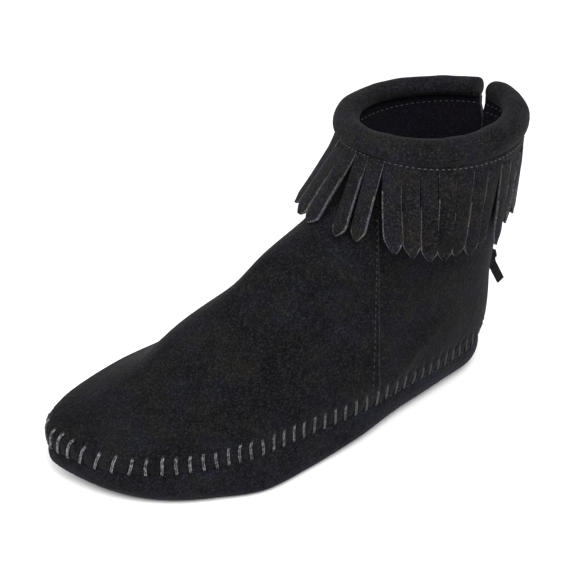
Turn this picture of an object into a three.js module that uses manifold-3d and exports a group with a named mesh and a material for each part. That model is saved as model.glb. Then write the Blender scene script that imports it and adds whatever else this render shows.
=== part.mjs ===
// Ankle moccasin boot for the left foot: soft sole, hollow suede upper, padded roll collar and fringe.
// Millimetres. X runs from heel to toe, +Y is the outer side of the foot, Z is up from the floor.
import * as THREE from 'three';
import { mergeVertices } from 'three/addons/utils/BufferGeometryUtils.js';
import Module from 'manifold-3d';

const wasm = await Module();
wasm.setup();

// Plan of the foot at the whipstitched seam
const FOOT_LENGTH = 248;
const HEEL_OUTER_SIDE = 34;
const HEEL_INNER_SIDE = 33;
const WAIST_OUTER_SIDE = 47;
const WAIST_INNER_SIDE = 34;
const BALL_OUTER_SIDE = 51;
const BALL_INNER_SIDE = 46;
const TOE_TIP_INWARD = 15;

// Heights above the floor
const SEAM_HEIGHT = 20;
const SEAM_TOE_DROP = 3;
const SEAM_HEEL_DROP = 1.5;
const INSTEP_HEIGHT = 75;
const COLLAR_FRONT_HEIGHT = 143;
const COLLAR_BACK_HEIGHT = 147;
const COLLAR_END_RISE = 2.5;

// Collar ring, to the middle of the roll
const COLLAR_CENTRE_X = 37.5;
const COLLAR_CENTRE_Y = 5.5;
const COLLAR_HALF_LENGTH = 45;
const COLLAR_HALF_WIDTH = 41;
const ROLL_HALF_THICKNESS = 7;
const ROLL_HEIGHT_ABOVE = 6.3;
const ROLL_DEPTH_INSIDE = 5.5;
const ROLL_DEPTH_OUTSIDE = 8.5;
const ROLL_TILT = 1.2;

// Swellings and hollows of the upper
const HEEL_BULGE = 4;
const TOE_BULGE = 3;
const ACHILLES_HOLLOW = 1.5;
const SIDE_BULGE = 2;
const ANKLE_HOLLOW = 5;

// Walls and clearances
const UPPER_WALL = 2;
const SOLE_WALL = 2.4;
const GAP = 0.3;
const VAMP_STEP = 0.8;

// Sole and insole
const SOLE_BULGE = 1;
const SOLE_TUCK = 6.5;
const TREAD_FLARE_OUTER_SIDE = 8;
const TREAD_FLARE_INNER_SIDE = 4;
const ARCH_RISE = 1.5;
const TOE_SPRING = 4.5;
const INSOLE_THICKNESS = 4;

// Side seams: where the vamp laps over the quarter
const SIDE_SEAM_X = 94;
const SIDE_SEAM_TURN = THREE.MathUtils.degToRad(37);
const SIDE_SEAM_LEAN = 0.03;

// Back slit, wider at its mouth, and the tab over the foot of the back seam
const SLIT_FOOT_HEIGHT = 50;
const SLIT_WIDTH = 1.4;
const SLIT_MOUTH_WIDTH = 6;
const SLIT_MOUTH_DEPTH = 16;
const SLIT_TOP_Y = -4.5;
const SLIT_FOOT_Y = 3.5;
const TAB_TOP_HEIGHT = 43;
const TAB_WIDTH = 26;
const TAB_ROUND = 5;
const TAB_THICKNESS = 1.8;

// Fringe
const FRINGE_LENGTH = 46;
const FRINGE_BAND = 7;
const FRINGE_THICKNESS = 1.6;
const FRINGE_SLOPE_FRONT = 0.6;
const FRINGE_SLOPE_BACK = -0.08;
const FRINGE_CLEARANCE = 1.3;
const FRINGE_TOP_DROP = 2;
const STRIP_WIDTH = 7.4;
const STRIP_PITCH = 8.1;
const STRIP_THICKNESS = 1;

// Tie through two holes beside the slit
const LACE_WIDTH = 6;
const LACE_THICKNESS = 1.4;
const TIE_HEIGHT = 54;
const TIE_HOLE_SPACING = 13;
const KNOT_WIDTH = 9;
const KNOT_DEPTH = 8.5;
const KNOT_HEIGHT = 9;
const KNOT_STANDOFF = 3.5;

// Free ends of the lace below the knot, as chosen points
const LACE_END_OUTER = [
  [-11.6, 5.2, 49.4],
  [-13.4, 6.2, 45.6],
  [-15.6, 6, 41],
  [-17.5, 5.1, 36.2],
];
const LACE_END_INNER = [
  [-11.2, 1.6, 50],
  [-12.1, -1.8, 46.2],
  [-12.6, -5.6, 41.4],
  [-12.4, -9, 37],
];

// How finely the skins are faceted
const COLUMNS = 64;
const SKIN_ROWS = 12;
const ROLL_SECTIONS = 56;
const ROLL_SIDES = 12;
const FRINGE_COLUMNS = 48;
const FRINGE_STEP = 3;
const SEAM_DIVISIONS = 960;

// How the places round the collar run ahead of those round the seam outline, and both of an even walk
const CREEP = 3.2;
const SEAM_CREEP = 0.15;

// Powers that keep a swelling, a rise or the fringe's flare to its own end of the boot
const HEEL_FADE = 4;
const TOE_FADE = 8;
const RISE_FADE = 8;
const FLARE_FADE = 3;

// Small strides for directions and the part of the boot that counts as its back
const STRIDE = 0.002;
const RISE_STRIDE = 0.01;
const BACK_PART = 0.2;
const TAB_FOOT_SHARE = 0.024;

// Seam outline, a row for each station from heel to toe. along is a share of the length, the next four
// of the half widths and of the tip's offset, drop and low of the fall to toe and heel, flare of the tread's.
const PLAN = [
  { along: 0.0, heel: 0, waist: 0, ball: 0, tip: 0, drop: 0, low: 1, flare: 0 },
  { along: 0.02, heel: 0.44, waist: 0, ball: 0, tip: 0, drop: 0, low: 1, flare: -0.2 },
  { along: 0.07, heel: 0.78, waist: 0, ball: 0, tip: 0, drop: 0, low: 1, flare: -0.4 },
  { along: 0.16, heel: 1, waist: 0, ball: 0, tip: 0, drop: 0, low: 1, flare: -0.6 },
  { along: 0.3, heel: 0.45, waist: 0.55, ball: 0, tip: 0, drop: 0, low: 0.8, flare: -0.4 },
  { along: 0.43, heel: 0, waist: 1, ball: 0, tip: 0, drop: 0, low: 0.4, flare: 0.3 },
  { along: 0.56, heel: 0, waist: 0.42, ball: 0.58, tip: 0, drop: 0, low: 0, flare: 0.75 },
  { along: 0.68, heel: 0, waist: 0, ball: 1, tip: 0, drop: 0, low: 0, flare: 1 },
  { along: 0.78, heel: 0, waist: 0, ball: 0.94, tip: 0.04, drop: 0.1, low: 0, flare: 0.42 },
  { along: 0.87, heel: 0, waist: 0, ball: 0.78, tip: 0.18, drop: 0.4, low: 0, flare: 0.2 },
  { along: 0.94, heel: 0, waist: 0, ball: 0.55, tip: 0.42, drop: 0.7, low: 0, flare: 0 },
  { along: 0.985, heel: 0, waist: 0, ball: 0.24, tip: 0.78, drop: 0.95, low: 0, flare: 0 },
  { along: 1.0, heel: 0, waist: 0, ball: 0, tip: 1, drop: 1, low: 0, flare: 0 },
];

// Level sections of the upper. foot and shaft are shares of the heights seam to instep and instep
// to collar, reach the share of the way from seam outline to collar ring, the others of the swellings.
const SECTIONS = [
  { foot: 0, shaft: 0, reach: 0, bulge: 0, hollow: 0 },
  { foot: 0.18, shaft: 0, reach: 0.015, bulge: 0.9, hollow: 0 },
  { foot: 0.32, shaft: 0, reach: 0.15, bulge: 0.6, hollow: 0 },
  { foot: 0.46, shaft: 0, reach: 0.275, bulge: 0.25, hollow: 0.1 },
  { foot: 0.71, shaft: 0, reach: 0.395, bulge: 0, hollow: 0.5 },
  { foot: 1, shaft: 0, reach: 0.58, bulge: 0, hollow: 1 },
  { foot: 1, shaft: 0.24, reach: 0.69, bulge: 0, hollow: 0.75 },
  { foot: 1, shaft: 0.49, reach: 0.86, bulge: 0, hollow: 0.3 },
  { foot: 1, shaft: 0.745, reach: 0.96, bulge: 0, hollow: 0.08 },
  { foot: 1, shaft: 1, reach: 1, bulge: 0, hollow: 0 },
];

// Side of the sole, a row for each level from the floor up to the seam. up is a share of the seam's
// height, bulge, tuck and flare are shares of how far the side swells, turns in or spreads to the tread.
const SOLE_SIDE = [
  { up: 0, bulge: 0, tuck: 1, flare: 1 },
  { up: 0.05, bulge: 0, tuck: 0.66, flare: 1 },
  { up: 0.16, bulge: 0, tuck: 0.3, flare: 0.95 },
  { up: 0.36, bulge: 0.4, tuck: 0, flare: 0.72 },
  { up: 0.65, bulge: 1, tuck: 0, flare: 0.35 },
  { up: 1, bulge: 0, tuck: 0, flare: 0 },
];

// Flat stretches under heel and forefoot leave the arch and the toe to rise, as shares of the length
const ARCH_START = 0.27;
const ARCH_END = 0.58;
const SPRING_START = 0.84;

// One strip of fringe from band to tip: down is a share of its length, wide of the strip's width
const STRIP = [
  { down: 0.05, wide: 1 },
  { down: 0.3, wide: 1 },
  { down: 0.55, wide: 1.02 },
  { down: 0.76, wide: 1.03 },
  { down: 0.92, wide: 0.86 },
  { down: 1, wide: 0.3 },
];

// Cuts repeat round the fringe: length is a share of its length, slope adds to how steeply it stands out
const STRIP_CUTS = [
  { length: 1, slope: 0.03 },
  { length: 0.95, slope: 0 },
  { length: 1.03, slope: 0.06 },
  { length: 0.92, slope: 0.01 },
  { length: 0.99, slope: 0.04 },
];

const SUEDE = { color: 0x242426, roughness: 0.95, metalness: 0 };

function materialOf(changes = {}) {
  return new THREE.MeshStandardMaterial({ ...SUEDE, ...changes });
}

// One closed smooth line through the seam stations: outer side heel to toe, then inner side back
function seamPoint(row, side) {
  const outer = side > 0;
  const heel = row.heel * (outer ? HEEL_OUTER_SIDE : HEEL_INNER_SIDE);
  const waist = row.waist * (outer ? WAIST_OUTER_SIDE : WAIST_INNER_SIDE);
  const ball = row.ball * (outer ? BALL_OUTER_SIDE : BALL_INNER_SIDE);
  const height = SEAM_HEIGHT - row.drop * SEAM_TOE_DROP - row.low * SEAM_HEEL_DROP;
  const y = side * (heel + waist + ball) - row.tip * TOE_TIP_INWARD;
  return new THREE.Vector3(row.along * FOOT_LENGTH, y, height);
}

const innerRows = PLAN.slice(1, -1).reverse();
const outerStations = PLAN.map((row) => seamPoint(row, 1));
const innerStations = innerRows.map((row) => seamPoint(row, -1));
const seamLine = new THREE.CatmullRomCurve3([...outerStations, ...innerStations], true);
const flares = [
  ...PLAN.map((row) => row.flare * TREAD_FLARE_OUTER_SIDE),
  ...innerRows.map((row) => -row.flare * TREAD_FLARE_INNER_SIDE),
];
const flareLine = new THREE.CatmullRomCurve3(flares.map((flare, at) => new THREE.Vector3(at, flare, 0)));
seamLine.arcLengthDivisions = SEAM_DIVISIONS;
const seamLengths = seamLine.getLengths();
const toeShare = seamLengths[SEAM_DIVISIONS / 2] / seamLengths[SEAM_DIVISIONS];

// Halves the way between two values until the last one that isn't below the goal is found
function firstNotBelow(low, high, isBelow) {
  const passes = 24;
  let [from, to] = [low, high];
  for (let pass = 0; pass < passes; pass += 1) {
    const middle = (from + to) / 2;
    if (isBelow(middle)) from = middle;
    else to = middle;
  }
  return to;
}

// A place round the boot runs from 0 at the heel over the outer side to 0.5 at the toe and on to 1.
// The seam outline gets more of it near the heel and the collar ring more near the toe.
function sideOf(around) {
  const place = THREE.MathUtils.euclideanModulo(around, 1);
  const outer = place <= 0.5;
  return { outer, share: outer ? 2 * place : 2 * (1 - place) };
}

function seamParameter(around) {
  const { outer, share } = sideOf(around);
  const along = share / (1 + SEAM_CREEP * (1 - share));
  const arc = outer ? along * toeShare : 1 - along * (1 - toeShare);
  return seamLine.getUtoTmapping(THREE.MathUtils.clamp(arc, 0, 1));
}

function seamAt(around) {
  return seamLine.getPoint(seamParameter(around));
}

// How far the tread spreads sideways past the seam
function flareAt(around) {
  const station = seamParameter(around) * flares.length;
  const last = flares.length - 1;
  return station < last ? flareLine.getPoint(station / last).y : 0;
}

function collarAngle(around) {
  const { outer, share } = sideOf(around);
  const turn = (Math.PI * CREEP * share) / (1 + (CREEP - 1) * share);
  return outer ? turn : -turn;
}

// Section of the roll: outward from its middle and up from it
function rollSection() {
  return Array.from({ length: ROLL_SIDES }, (_, side) => {
    const turn = (2 * Math.PI * side) / ROLL_SIDES;
    const outside = (1 + Math.cos(turn)) / 2;
    const depth = THREE.MathUtils.lerp(ROLL_DEPTH_INSIDE, ROLL_DEPTH_OUTSIDE, outside);
    const swell = Math.sin(turn) * (turn < Math.PI ? ROLL_HEIGHT_ABOVE : depth);
    return { out: ROLL_HALF_THICKNESS * Math.cos(turn), up: swell - ROLL_TILT * Math.cos(turn) };
  });
}

// The wall stops just under the roll
const RIM_DROP = GAP - Math.min(...rollSection().map(({ up }) => up));

// Middle of the roll at an angle from the back of the collar, positive to the outer side
function rollCentre(angle) {
  const x = COLLAR_CENTRE_X - COLLAR_HALF_LENGTH * Math.cos(angle);
  const y = COLLAR_CENTRE_Y + COLLAR_HALF_WIDTH * Math.sin(angle);
  const back = (1 + Math.cos(angle)) / 2;
  const z = COLLAR_FRONT_HEIGHT + back * (COLLAR_BACK_HEIGHT - COLLAR_FRONT_HEIGHT);
  return new THREE.Vector3(x, y, z + COLLAR_END_RISE * back ** RISE_FADE);
}

// The upper's skin: at each place a smooth line runs up through the level sections
function skinLine(around) {
  const seam = seamAt(around);
  const rim = rollCentre(collarAngle(around));
  rim.z -= RIM_DROP;
  const { outer, share } = sideOf(around);
  const behind = Math.cos((Math.PI * share) / 2) ** HEEL_FADE;
  const ahead = Math.sin((Math.PI * share) / 2) ** TOE_FADE;
  const beside = (outer ? 1 : -1) * Math.sin(Math.PI * share);
  const points = SECTIONS.map((row) => {
    const instep = THREE.MathUtils.lerp(seam.z, INSTEP_HEIGHT, row.foot);
    const point = new THREE.Vector3().lerpVectors(seam, rim, row.reach);
    point.x -= behind * (row.bulge * HEEL_BULGE - row.hollow * ACHILLES_HOLLOW);
    point.x += ahead * row.bulge * TOE_BULGE;
    point.y += beside * (row.bulge * SIDE_BULGE - row.hollow * ANKLE_HOLLOW);
    point.z = THREE.MathUtils.lerp(instep, rim.z, row.shaft);
    return point;
  });
  return new THREE.CatmullRomCurve3(points);
}

// Point on the skin moved outward
function skinPoint(around, up, out = 0) {
  const line = skinLine(around);
  const next = skinLine(around + STRIDE).getPoint(up);
  const previous = skinLine(around - STRIDE).getPoint(up);
  const high = line.getPoint(Math.min(up + RISE_STRIDE, 1));
  const low = line.getPoint(Math.max(up - RISE_STRIDE, 0));
  const outward = new THREE.Vector3().crossVectors(high.sub(low), next.sub(previous)).normalize();
  return line.getPoint(up).addScaledVector(outward, out);
}

// Share of the way up a skin line at a height above the floor
function heightShare(around, height) {
  const line = skinLine(around);
  return firstNotBelow(0, 1, (up) => line.getPoint(up).z < height);
}

// Place on the skin at a height above the floor
function pointAtHeight(around, height) {
  return skinLine(around).getPoint(heightShare(around, height));
}

// Place round the heel where the skin at a height is so far to the outer side
function aroundOfBackY(y, height) {
  return firstNotBelow(-BACK_PART, BACK_PART, (around) => pointAtHeight(around, height).y < y);
}

function solidOf(points, triangles) {
  let volume = 0;
  for (let at = 0; at < triangles.length; at += 3) {
    const [a, b, c] = triangles.slice(at, at + 3).map((index) => points[index]);
    volume += new THREE.Vector3().crossVectors(a, b).dot(c);
  }
  const outward = volume > 0 ? triangles : triangles.slice().reverse();
  const vertProperties = new Float32Array(points.flatMap((point) => [point.x, point.y, point.z]));
  const mesh = new wasm.Mesh({ numProp: 3, vertProperties, triVerts: new Uint32Array(outward) });
  mesh.merge();
  return new wasm.Manifold(mesh);
}

function solidFromGeometry(geometry) {
  const position = geometry.getAttribute('position');
  const index = geometry.getIndex();
  const points = [];
  for (let at = 0; at < position.count; at += 1) {
    points.push(new THREE.Vector3().fromBufferAttribute(position, at));
  }
  const triangles = index ? Array.from(index.array) : points.map((_, at) => at);
  return solidOf(points, triangles);
}

// Solid between a lower and an upper ring and those between them, closed straight across at both ends
function stackRings(rings) {
  const count = rings[0].length;
  const half = count / 2;
  const triangles = [];
  const at = (ring, column) => ring * count + (column % count);
  for (let ring = 0; ring + 1 < rings.length; ring += 1) {
    for (let column = 0; column < count; column += 1) {
      const low = at(ring, column);
      const lowNext = at(ring, column + 1);
      const high = at(ring + 1, column);
      const highNext = at(ring + 1, column + 1);
      triangles.push(low, high, highNext, low, highNext, lowNext);
    }
  }
  const top = rings.length - 1;
  for (let column = 0; column < half; column += 1) {
    for (const [ring, up] of [[0, false], [top, true]]) {
      const a = at(ring, column);
      const b = at(ring, column + 1);
      const c = at(ring, count - column - 1);
      const d = at(ring, count - column);
      if (b !== c) triangles.push(...(up ? [a, c, b] : [a, b, c]));
      if (a !== d) triangles.push(...(up ? [a, d, c] : [a, c, d]));
    }
  }
  return solidOf(rings.flat(), triangles);
}

// Solid swept through open sections of equal count, closed flat at both ends
function sweepSections(sections) {
  const count = sections[0].length;
  const triangles = [];
  const at = (section, corner) => section * count + (corner % count);
  for (let section = 0; section + 1 < sections.length; section += 1) {
    for (let corner = 0; corner < count; corner += 1) {
      const here = at(section, corner);
      const beside = at(section, corner + 1);
      const ahead = at(section + 1, corner);
      const across = at(section + 1, corner + 1);
      triangles.push(here, beside, across, here, across, ahead);
    }
  }
  const last = sections.length - 1;
  for (let corner = 0; 2 * corner + 2 < count; corner += 1) {
    const corners = [corner, corner + 1, count - corner - 2, count - corner - 1];
    const [a, b, c, d] = corners.map((each) => at(0, each));
    const [e, f, g, h] = corners.map((each) => at(last, each));
    triangles.push(a, c, b, a, d, c, e, f, g, e, g, h);
  }
  return solidOf(sections.flat(), triangles);
}

function boxSolid(width, depth, height, place) {
  const geometry = new THREE.BoxGeometry(width, depth, height);
  geometry.deleteAttribute('normal');
  geometry.deleteAttribute('uv');
  geometry.applyMatrix4(place);
  return solidFromGeometry(geometry);
}

function placed(x, y, z, turn = 0) {
  return new THREE.Matrix4().makeRotationZ(turn).setPosition(x, y, z);
}

function nodeOf(name, solid, changes) {
  const mesh = solid.getMesh();
  const geometry = new THREE.BufferGeometry();
  geometry.setAttribute('position', new THREE.BufferAttribute(mesh.vertProperties, 3));
  geometry.setIndex(new THREE.BufferAttribute(mesh.triVerts, 1));
  geometry.computeVertexNormals();
  const node = new THREE.Mesh(geometry, materialOf(changes));
  node.name = name;
  return node;
}

// Closed form of the upper's skin moved in or out, with its ends carried past the real rims
function skinForm(out, past) {
  const rings = [];
  for (let row = 0; row <= SKIN_ROWS; row += 1) {
    const ring = [];
    for (let column = 0; column < COLUMNS; column += 1) {
      ring.push(skinPoint(column / COLUMNS, row / SKIN_ROWS, out));
    }
    rings.push(ring);
  }
  const moved = (ring, rise) => ring.map((point) => point.clone().setZ(point.z + rise));
  if (past > 0) return stackRings([moved(rings[0], -past), ...rings, moved(rings[SKIN_ROWS], past)]);
  rings[0] = moved(rings[0], -past);
  rings[SKIN_ROWS] = moved(rings[SKIN_ROWS], past);
  return stackRings(rings);
}

// Everything in front of both side seams
function vampRegion() {
  const reach = 2 * FOOT_LENGTH;
  const regions = [1, -1].map((side) => {
    const station = seamStationAt(SIDE_SEAM_X, side);
    const lean = new THREE.Matrix4().makeRotationY(Math.atan(SIDE_SEAM_LEAN));
    const turn = new THREE.Matrix4().makeRotationZ(-side * SIDE_SEAM_TURN);
    const start = new THREE.Matrix4().makeTranslation(reach / 2, 0, 0);
    const foot = new THREE.Matrix4().makeTranslation(station.x, station.y, station.z);
    return boxSolid(reach, reach, reach, foot.multiply(turn).multiply(lean).multiply(start));
  });
  return regions[0].intersect(regions[1]);
}

function seamStationAt(x, side) {
  const steps = 400;
  let best = seamAt(0);
  for (let step = 0; step <= steps; step += 1) {
    const point = seamAt((side * step) / (2 * steps));
    if (Math.abs(point.x - x) < Math.abs(best.x - x)) best = point;
  }
  return best;
}

// The back slit as a wedge seen from behind, wider at the mouth
function slitY(height) {
  const share = (height - SLIT_FOOT_HEIGHT) / (COLLAR_BACK_HEIGHT - SLIT_FOOT_HEIGHT);
  return THREE.MathUtils.lerp(SLIT_FOOT_Y, SLIT_TOP_Y, share);
}

function slitSolid() {
  const top = COLLAR_BACK_HEIGHT + 2 * ROLL_HEIGHT_ABOVE;
  const levels = [
    { height: SLIT_FOOT_HEIGHT, width: SLIT_WIDTH },
    { height: COLLAR_BACK_HEIGHT - SLIT_MOUTH_DEPTH, width: SLIT_WIDTH },
    { height: COLLAR_BACK_HEIGHT, width: SLIT_MOUTH_WIDTH },
    { height: top, width: SLIT_MOUTH_WIDTH },
  ];
  const sections = levels.map(({ height, width }) => {
    const middle = slitY(height);
    const back = COLLAR_CENTRE_X - 2 * COLLAR_HALF_LENGTH;
    const corners = [
      [back, middle - width / 2],
      [COLLAR_CENTRE_X, middle - width / 2],
      [COLLAR_CENTRE_X, middle + width / 2],
      [back, middle + width / 2],
    ];
    return corners.map(([x, y]) => new THREE.Vector3(x, y, height));
  });
  return sweepSections(sections);
}

function tieHoles() {
  const depth = 4 * ROLL_HALF_THICKNESS;
  const width = LACE_THICKNESS + 2 * GAP;
  const height = LACE_WIDTH + 2 * GAP;
  const back = skinPoint(0, heightShare(0, TIE_HEIGHT));
  const holes = [1, -1].map((side) => {
    const y = SLIT_FOOT_Y + (side * TIE_HOLE_SPACING) / 2;
    return boxSolid(depth, width, height, placed(back.x, y, TIE_HEIGHT));
  });
  return holes[0].add(holes[1]);
}

function buildUpper() {
  const quarter = skinForm(0, 0);
  const vamp = skinForm(VAMP_STEP, -GAP).intersect(vampRegion());
  const hollow = skinForm(-UPPER_WALL, 2 * UPPER_WALL);
  return quarter.add(vamp).subtract(hollow).subtract(slitSolid()).subtract(tieHoles());
}

function floorHeight(x) {
  const along = x / FOOT_LENGTH;
  const arch = THREE.MathUtils.clamp((along - ARCH_START) / (ARCH_END - ARCH_START), 0, 1);
  const spring = THREE.MathUtils.clamp((along - SPRING_START) / (1 - SPRING_START), 0, 1);
  return ARCH_RISE * Math.sin(Math.PI * arch) ** 2 + TOE_SPRING * spring ** 2;
}

// Swell or tuck and share of the flare at a level of the sole's side
function soleSideAt(up) {
  const next = Math.max(1, SOLE_SIDE.findIndex((row) => row.up >= up));
  const [low, high] = [SOLE_SIDE[next - 1], SOLE_SIDE[next]];
  const share = (up - low.up) / (high.up - low.up);
  const mixed = (key) => THREE.MathUtils.lerp(low[key], high[key], share);
  return { out: mixed('bulge') * SOLE_BULGE - mixed('tuck') * SOLE_TUCK, flare: mixed('flare') };
}

// Ring of the sole's side at a share of the seam's height, moved in and up by a wall
function soleRing(up, wall, lift = 0) {
  const ring = [];
  const { out, flare } = soleSideAt(up);
  for (let column = 0; column < COLUMNS; column += 1) {
    const around = column / COLUMNS;
    const seam = seamAt(around);
    const ahead = seamAt(around + STRIDE).sub(seamAt(around - STRIDE));
    const outward = new THREE.Vector3(-ahead.y, ahead.x, 0).normalize();
    const point = seam.clone().addScaledVector(outward, out - wall);
    point.y += flare * flareAt(around);
    const floor = floorHeight(point.x);
    point.z = THREE.MathUtils.lerp(floor + wall, seam.z - GAP, up) + lift;
    ring.push(point);
  }
  return ring;
}

function buildSole() {
  const levels = SOLE_SIDE.map((row) => row.up);
  const outside = levels.map((up) => soleRing(up, 0));
  const inside = levels.map((up) => soleRing(up, SOLE_WALL));
  inside.push(soleRing(1, SOLE_WALL, 2 * SOLE_WALL));
  return stackRings(outside).subtract(stackRings(inside));
}

function buildInsole() {
  const clear = SOLE_WALL + GAP;
  const top = INSOLE_THICKNESS / (SEAM_HEIGHT - GAP - clear);
  const levels = SOLE_SIDE.map((row) => row.up).filter((up) => up < top);
  return stackRings([...levels, top].map((up) => soleRing(up, clear)));
}

// Straight out from the collar ring at an angle, and level along it
function ringDirections(angle) {
  const ahead = rollCentre(angle + RISE_STRIDE).sub(rollCentre(angle - RISE_STRIDE));
  const sideways = ahead.setZ(0).normalize();
  return { sideways, outward: new THREE.Vector3(-sideways.y, sideways.x, 0) };
}

// Angle of the collar ring beside the slit at its mouth
function angleBesideSlit(side) {
  const y = slitY(COLLAR_BACK_HEIGHT) + (side * SLIT_MOUTH_WIDTH) / 2 - COLLAR_CENTRE_Y;
  return Math.asin(y / COLLAR_HALF_WIDTH);
}

// Padded roll round the top, its middle moved in so that it sits over the wall
function buildCollar() {
  const first = angleBesideSlit(1);
  const last = 2 * Math.PI + angleBesideSlit(-1);
  const sections = Array.from({ length: ROLL_SECTIONS + 1 }, (_, step) => {
    const angle = THREE.MathUtils.lerp(first, last, step / ROLL_SECTIONS);
    const { outward } = ringDirections(angle);
    const centre = rollCentre(angle).addScaledVector(outward, -UPPER_WALL / 2);
    return rollSection().map(({ out, up }) => {
      const point = centre.clone().addScaledVector(outward, out);
      return point.setZ(point.z + up);
    });
  });
  return sweepSections(sections);
}

// How far the skin stands out from the rim at a drop below it, straight out from the collar there
function skinReach(start, { outward, sideways }, around, drop) {
  const nearby = BACK_PART / 2;
  const pointAt = (place) => pointAtHeight(place, start.z - drop).sub(start);
  const place = firstNotBelow(around - nearby, around + nearby, (each) => pointAt(each).dot(sideways) < 0);
  return pointAt(place).dot(outward);
}

// Place round the boot whose skin line ends at an angle of the collar ring
function aroundAt(angle) {
  const turn = THREE.MathUtils.euclideanModulo(angle, 2 * Math.PI);
  const outer = turn <= Math.PI;
  const part = (outer ? turn : 2 * Math.PI - turn) / Math.PI;
  const share = part / (CREEP - (CREEP - 1) * part);
  return outer ? share / 2 : 1 - share / 2;
}

// The fringe hangs from the rim at its slope until it meets the skin, and lies on it from there
function fringePath(angle, extraSlope, length) {
  const start = rollCentre(angle);
  start.z -= RIM_DROP + FRINGE_TOP_DROP;
  const directions = ringDirections(angle);
  const facing = ((1 - Math.cos(angle)) / 2) ** FLARE_FADE;
  const slope = THREE.MathUtils.lerp(FRINGE_SLOPE_BACK, FRINGE_SLOPE_FRONT, facing) + extraSlope;
  const path = [{ point: start.clone(), length: 0 }];
  while (path[path.length - 1].length < length) {
    const drop = path.length * FRINGE_STEP;
    const skin = skinReach(start, directions, aroundAt(angle), drop);
    const point = start.clone().addScaledVector(directions.outward, Math.max(skin, slope * drop));
    point.z -= drop;
    const before = path[path.length - 1];
    path.push({ point, length: before.length + point.distanceTo(before.point) });
  }
  return { path, sideways: directions.sideways };
}

// Point clear of the skin and outward direction at a length down a path of the fringe
function alongPath({ path, sideways }, length) {
  const next = Math.max(1, path.findIndex((each) => each.length >= length));
  const [from, to] = [path[next - 1], path[next]];
  const share = (length - from.length) / (to.length - from.length);
  const after = path[Math.min(next + 1, path.length - 1)].point;
  const before = path[Math.max(next - 2, 0)].point;
  const outward = new THREE.Vector3().crossVectors(sideways, after.clone().sub(before)).normalize();
  const point = new THREE.Vector3().lerpVectors(from.point, to.point, share);
  return { point: point.addScaledVector(outward, GAP + VAMP_STEP + FRINGE_CLEARANCE), outward };
}

function fringeBand(angles) {
  const sections = angles.map((angle) => {
    const hang = fringePath(angle, 0, FRINGE_BAND);
    const rows = [0, FRINGE_BAND].map((length) => alongPath(hang, length));
    const inner = rows.map(({ point }) => point);
    const outer = rows.map(({ point, outward }) => {
      return point.clone().addScaledVector(outward, FRINGE_THICKNESS);
    });
    return [...inner, ...outer.reverse()];
  });
  return sweepSections(sections);
}

function fringeStrip(angle, cut) {
  const length = cut.length * FRINGE_LENGTH;
  const hang = fringePath(angle, cut.slope, length);
  const inset = (FRINGE_THICKNESS - STRIP_THICKNESS) / 2;
  const sections = STRIP.map((row) => {
    const { point, outward } = alongPath(hang, row.down * length);
    const near = point.addScaledVector(outward, inset);
    const far = near.clone().addScaledVector(outward, STRIP_THICKNESS);
    const half = (row.wide * STRIP_WIDTH) / 2;
    return [
      near.clone().addScaledVector(hang.sideways, -half),
      near.clone().addScaledVector(hang.sideways, half),
      far.clone().addScaledVector(hang.sideways, half),
      far.clone().addScaledVector(hang.sideways, -half),
    ];
  });
  return sweepSections(sections);
}

// Angles round the collar from one edge of the slit to the other, evenly spaced along the ring
function ringAngles(count, margin) {
  const first = angleBesideSlit(1);
  const last = 2 * Math.PI + angleBesideSlit(-1);
  const steps = 400;
  const angles = [];
  const lengths = [0];
  for (let step = 0; step <= steps; step += 1) angles.push(THREE.MathUtils.lerp(first, last, step / steps));
  for (let step = 1; step <= steps; step += 1) {
    const stride = rollCentre(angles[step]).distanceTo(rollCentre(angles[step - 1]));
    lengths.push(lengths[step - 1] + stride);
  }
  const total = lengths[steps];
  const places = count || Math.floor(total / STRIP_PITCH);
  return Array.from({ length: places }, (_, place) => {
    const share = margin ? (place + 0.5) / places : place / (places - 1);
    const at = Math.max(1, lengths.findIndex((length) => length >= share * total - 1e-6));
    const part = (share * total - lengths[at - 1]) / (lengths[at] - lengths[at - 1]);
    return THREE.MathUtils.lerp(angles[at - 1], angles[at], part);
  });
}

function buildFringe() {
  return ringAngles(0, true).reduce((fringe, angle, index) => {
    return fringe.add(fringeStrip(angle, STRIP_CUTS[index % STRIP_CUTS.length]));
  }, fringeBand(ringAngles(FRINGE_COLUMNS, false)));
}

// Tab over the foot of the back seam, lying on the skin, round at its top corners
function buildTab() {
  const columns = 9;
  const rows = 5;
  const [first, last] = [-1, 1].map((side) => aroundOfBackY((side * TAB_WIDTH) / 2, TAB_TOP_HEIGHT));
  const sections = Array.from({ length: columns }, (_, column) => {
    const share = column / (columns - 1);
    const around = THREE.MathUtils.lerp(first, last, share);
    const top = heightShare(around, TAB_TOP_HEIGHT - TAB_ROUND * (2 * share - 1) ** 4);
    const ups = Array.from({ length: rows }, (_, row) => {
      return top * THREE.MathUtils.lerp(TAB_FOOT_SHARE, 1, row / (rows - 1));
    });
    const inner = ups.map((up) => skinPoint(around, up, GAP));
    const outer = ups.map((up) => skinPoint(around, up, GAP + TAB_THICKNESS));
    return [...inner, ...outer.reverse()];
  });
  return sweepSections(sections);
}

function knotCentre() {
  const back = pointAtHeight(aroundOfBackY(SLIT_FOOT_Y, TIE_HEIGHT), TIE_HEIGHT).x;
  return new THREE.Vector3(back - KNOT_STANDOFF - KNOT_DEPTH / 2, SLIT_FOOT_Y, TIE_HEIGHT);
}

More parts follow.
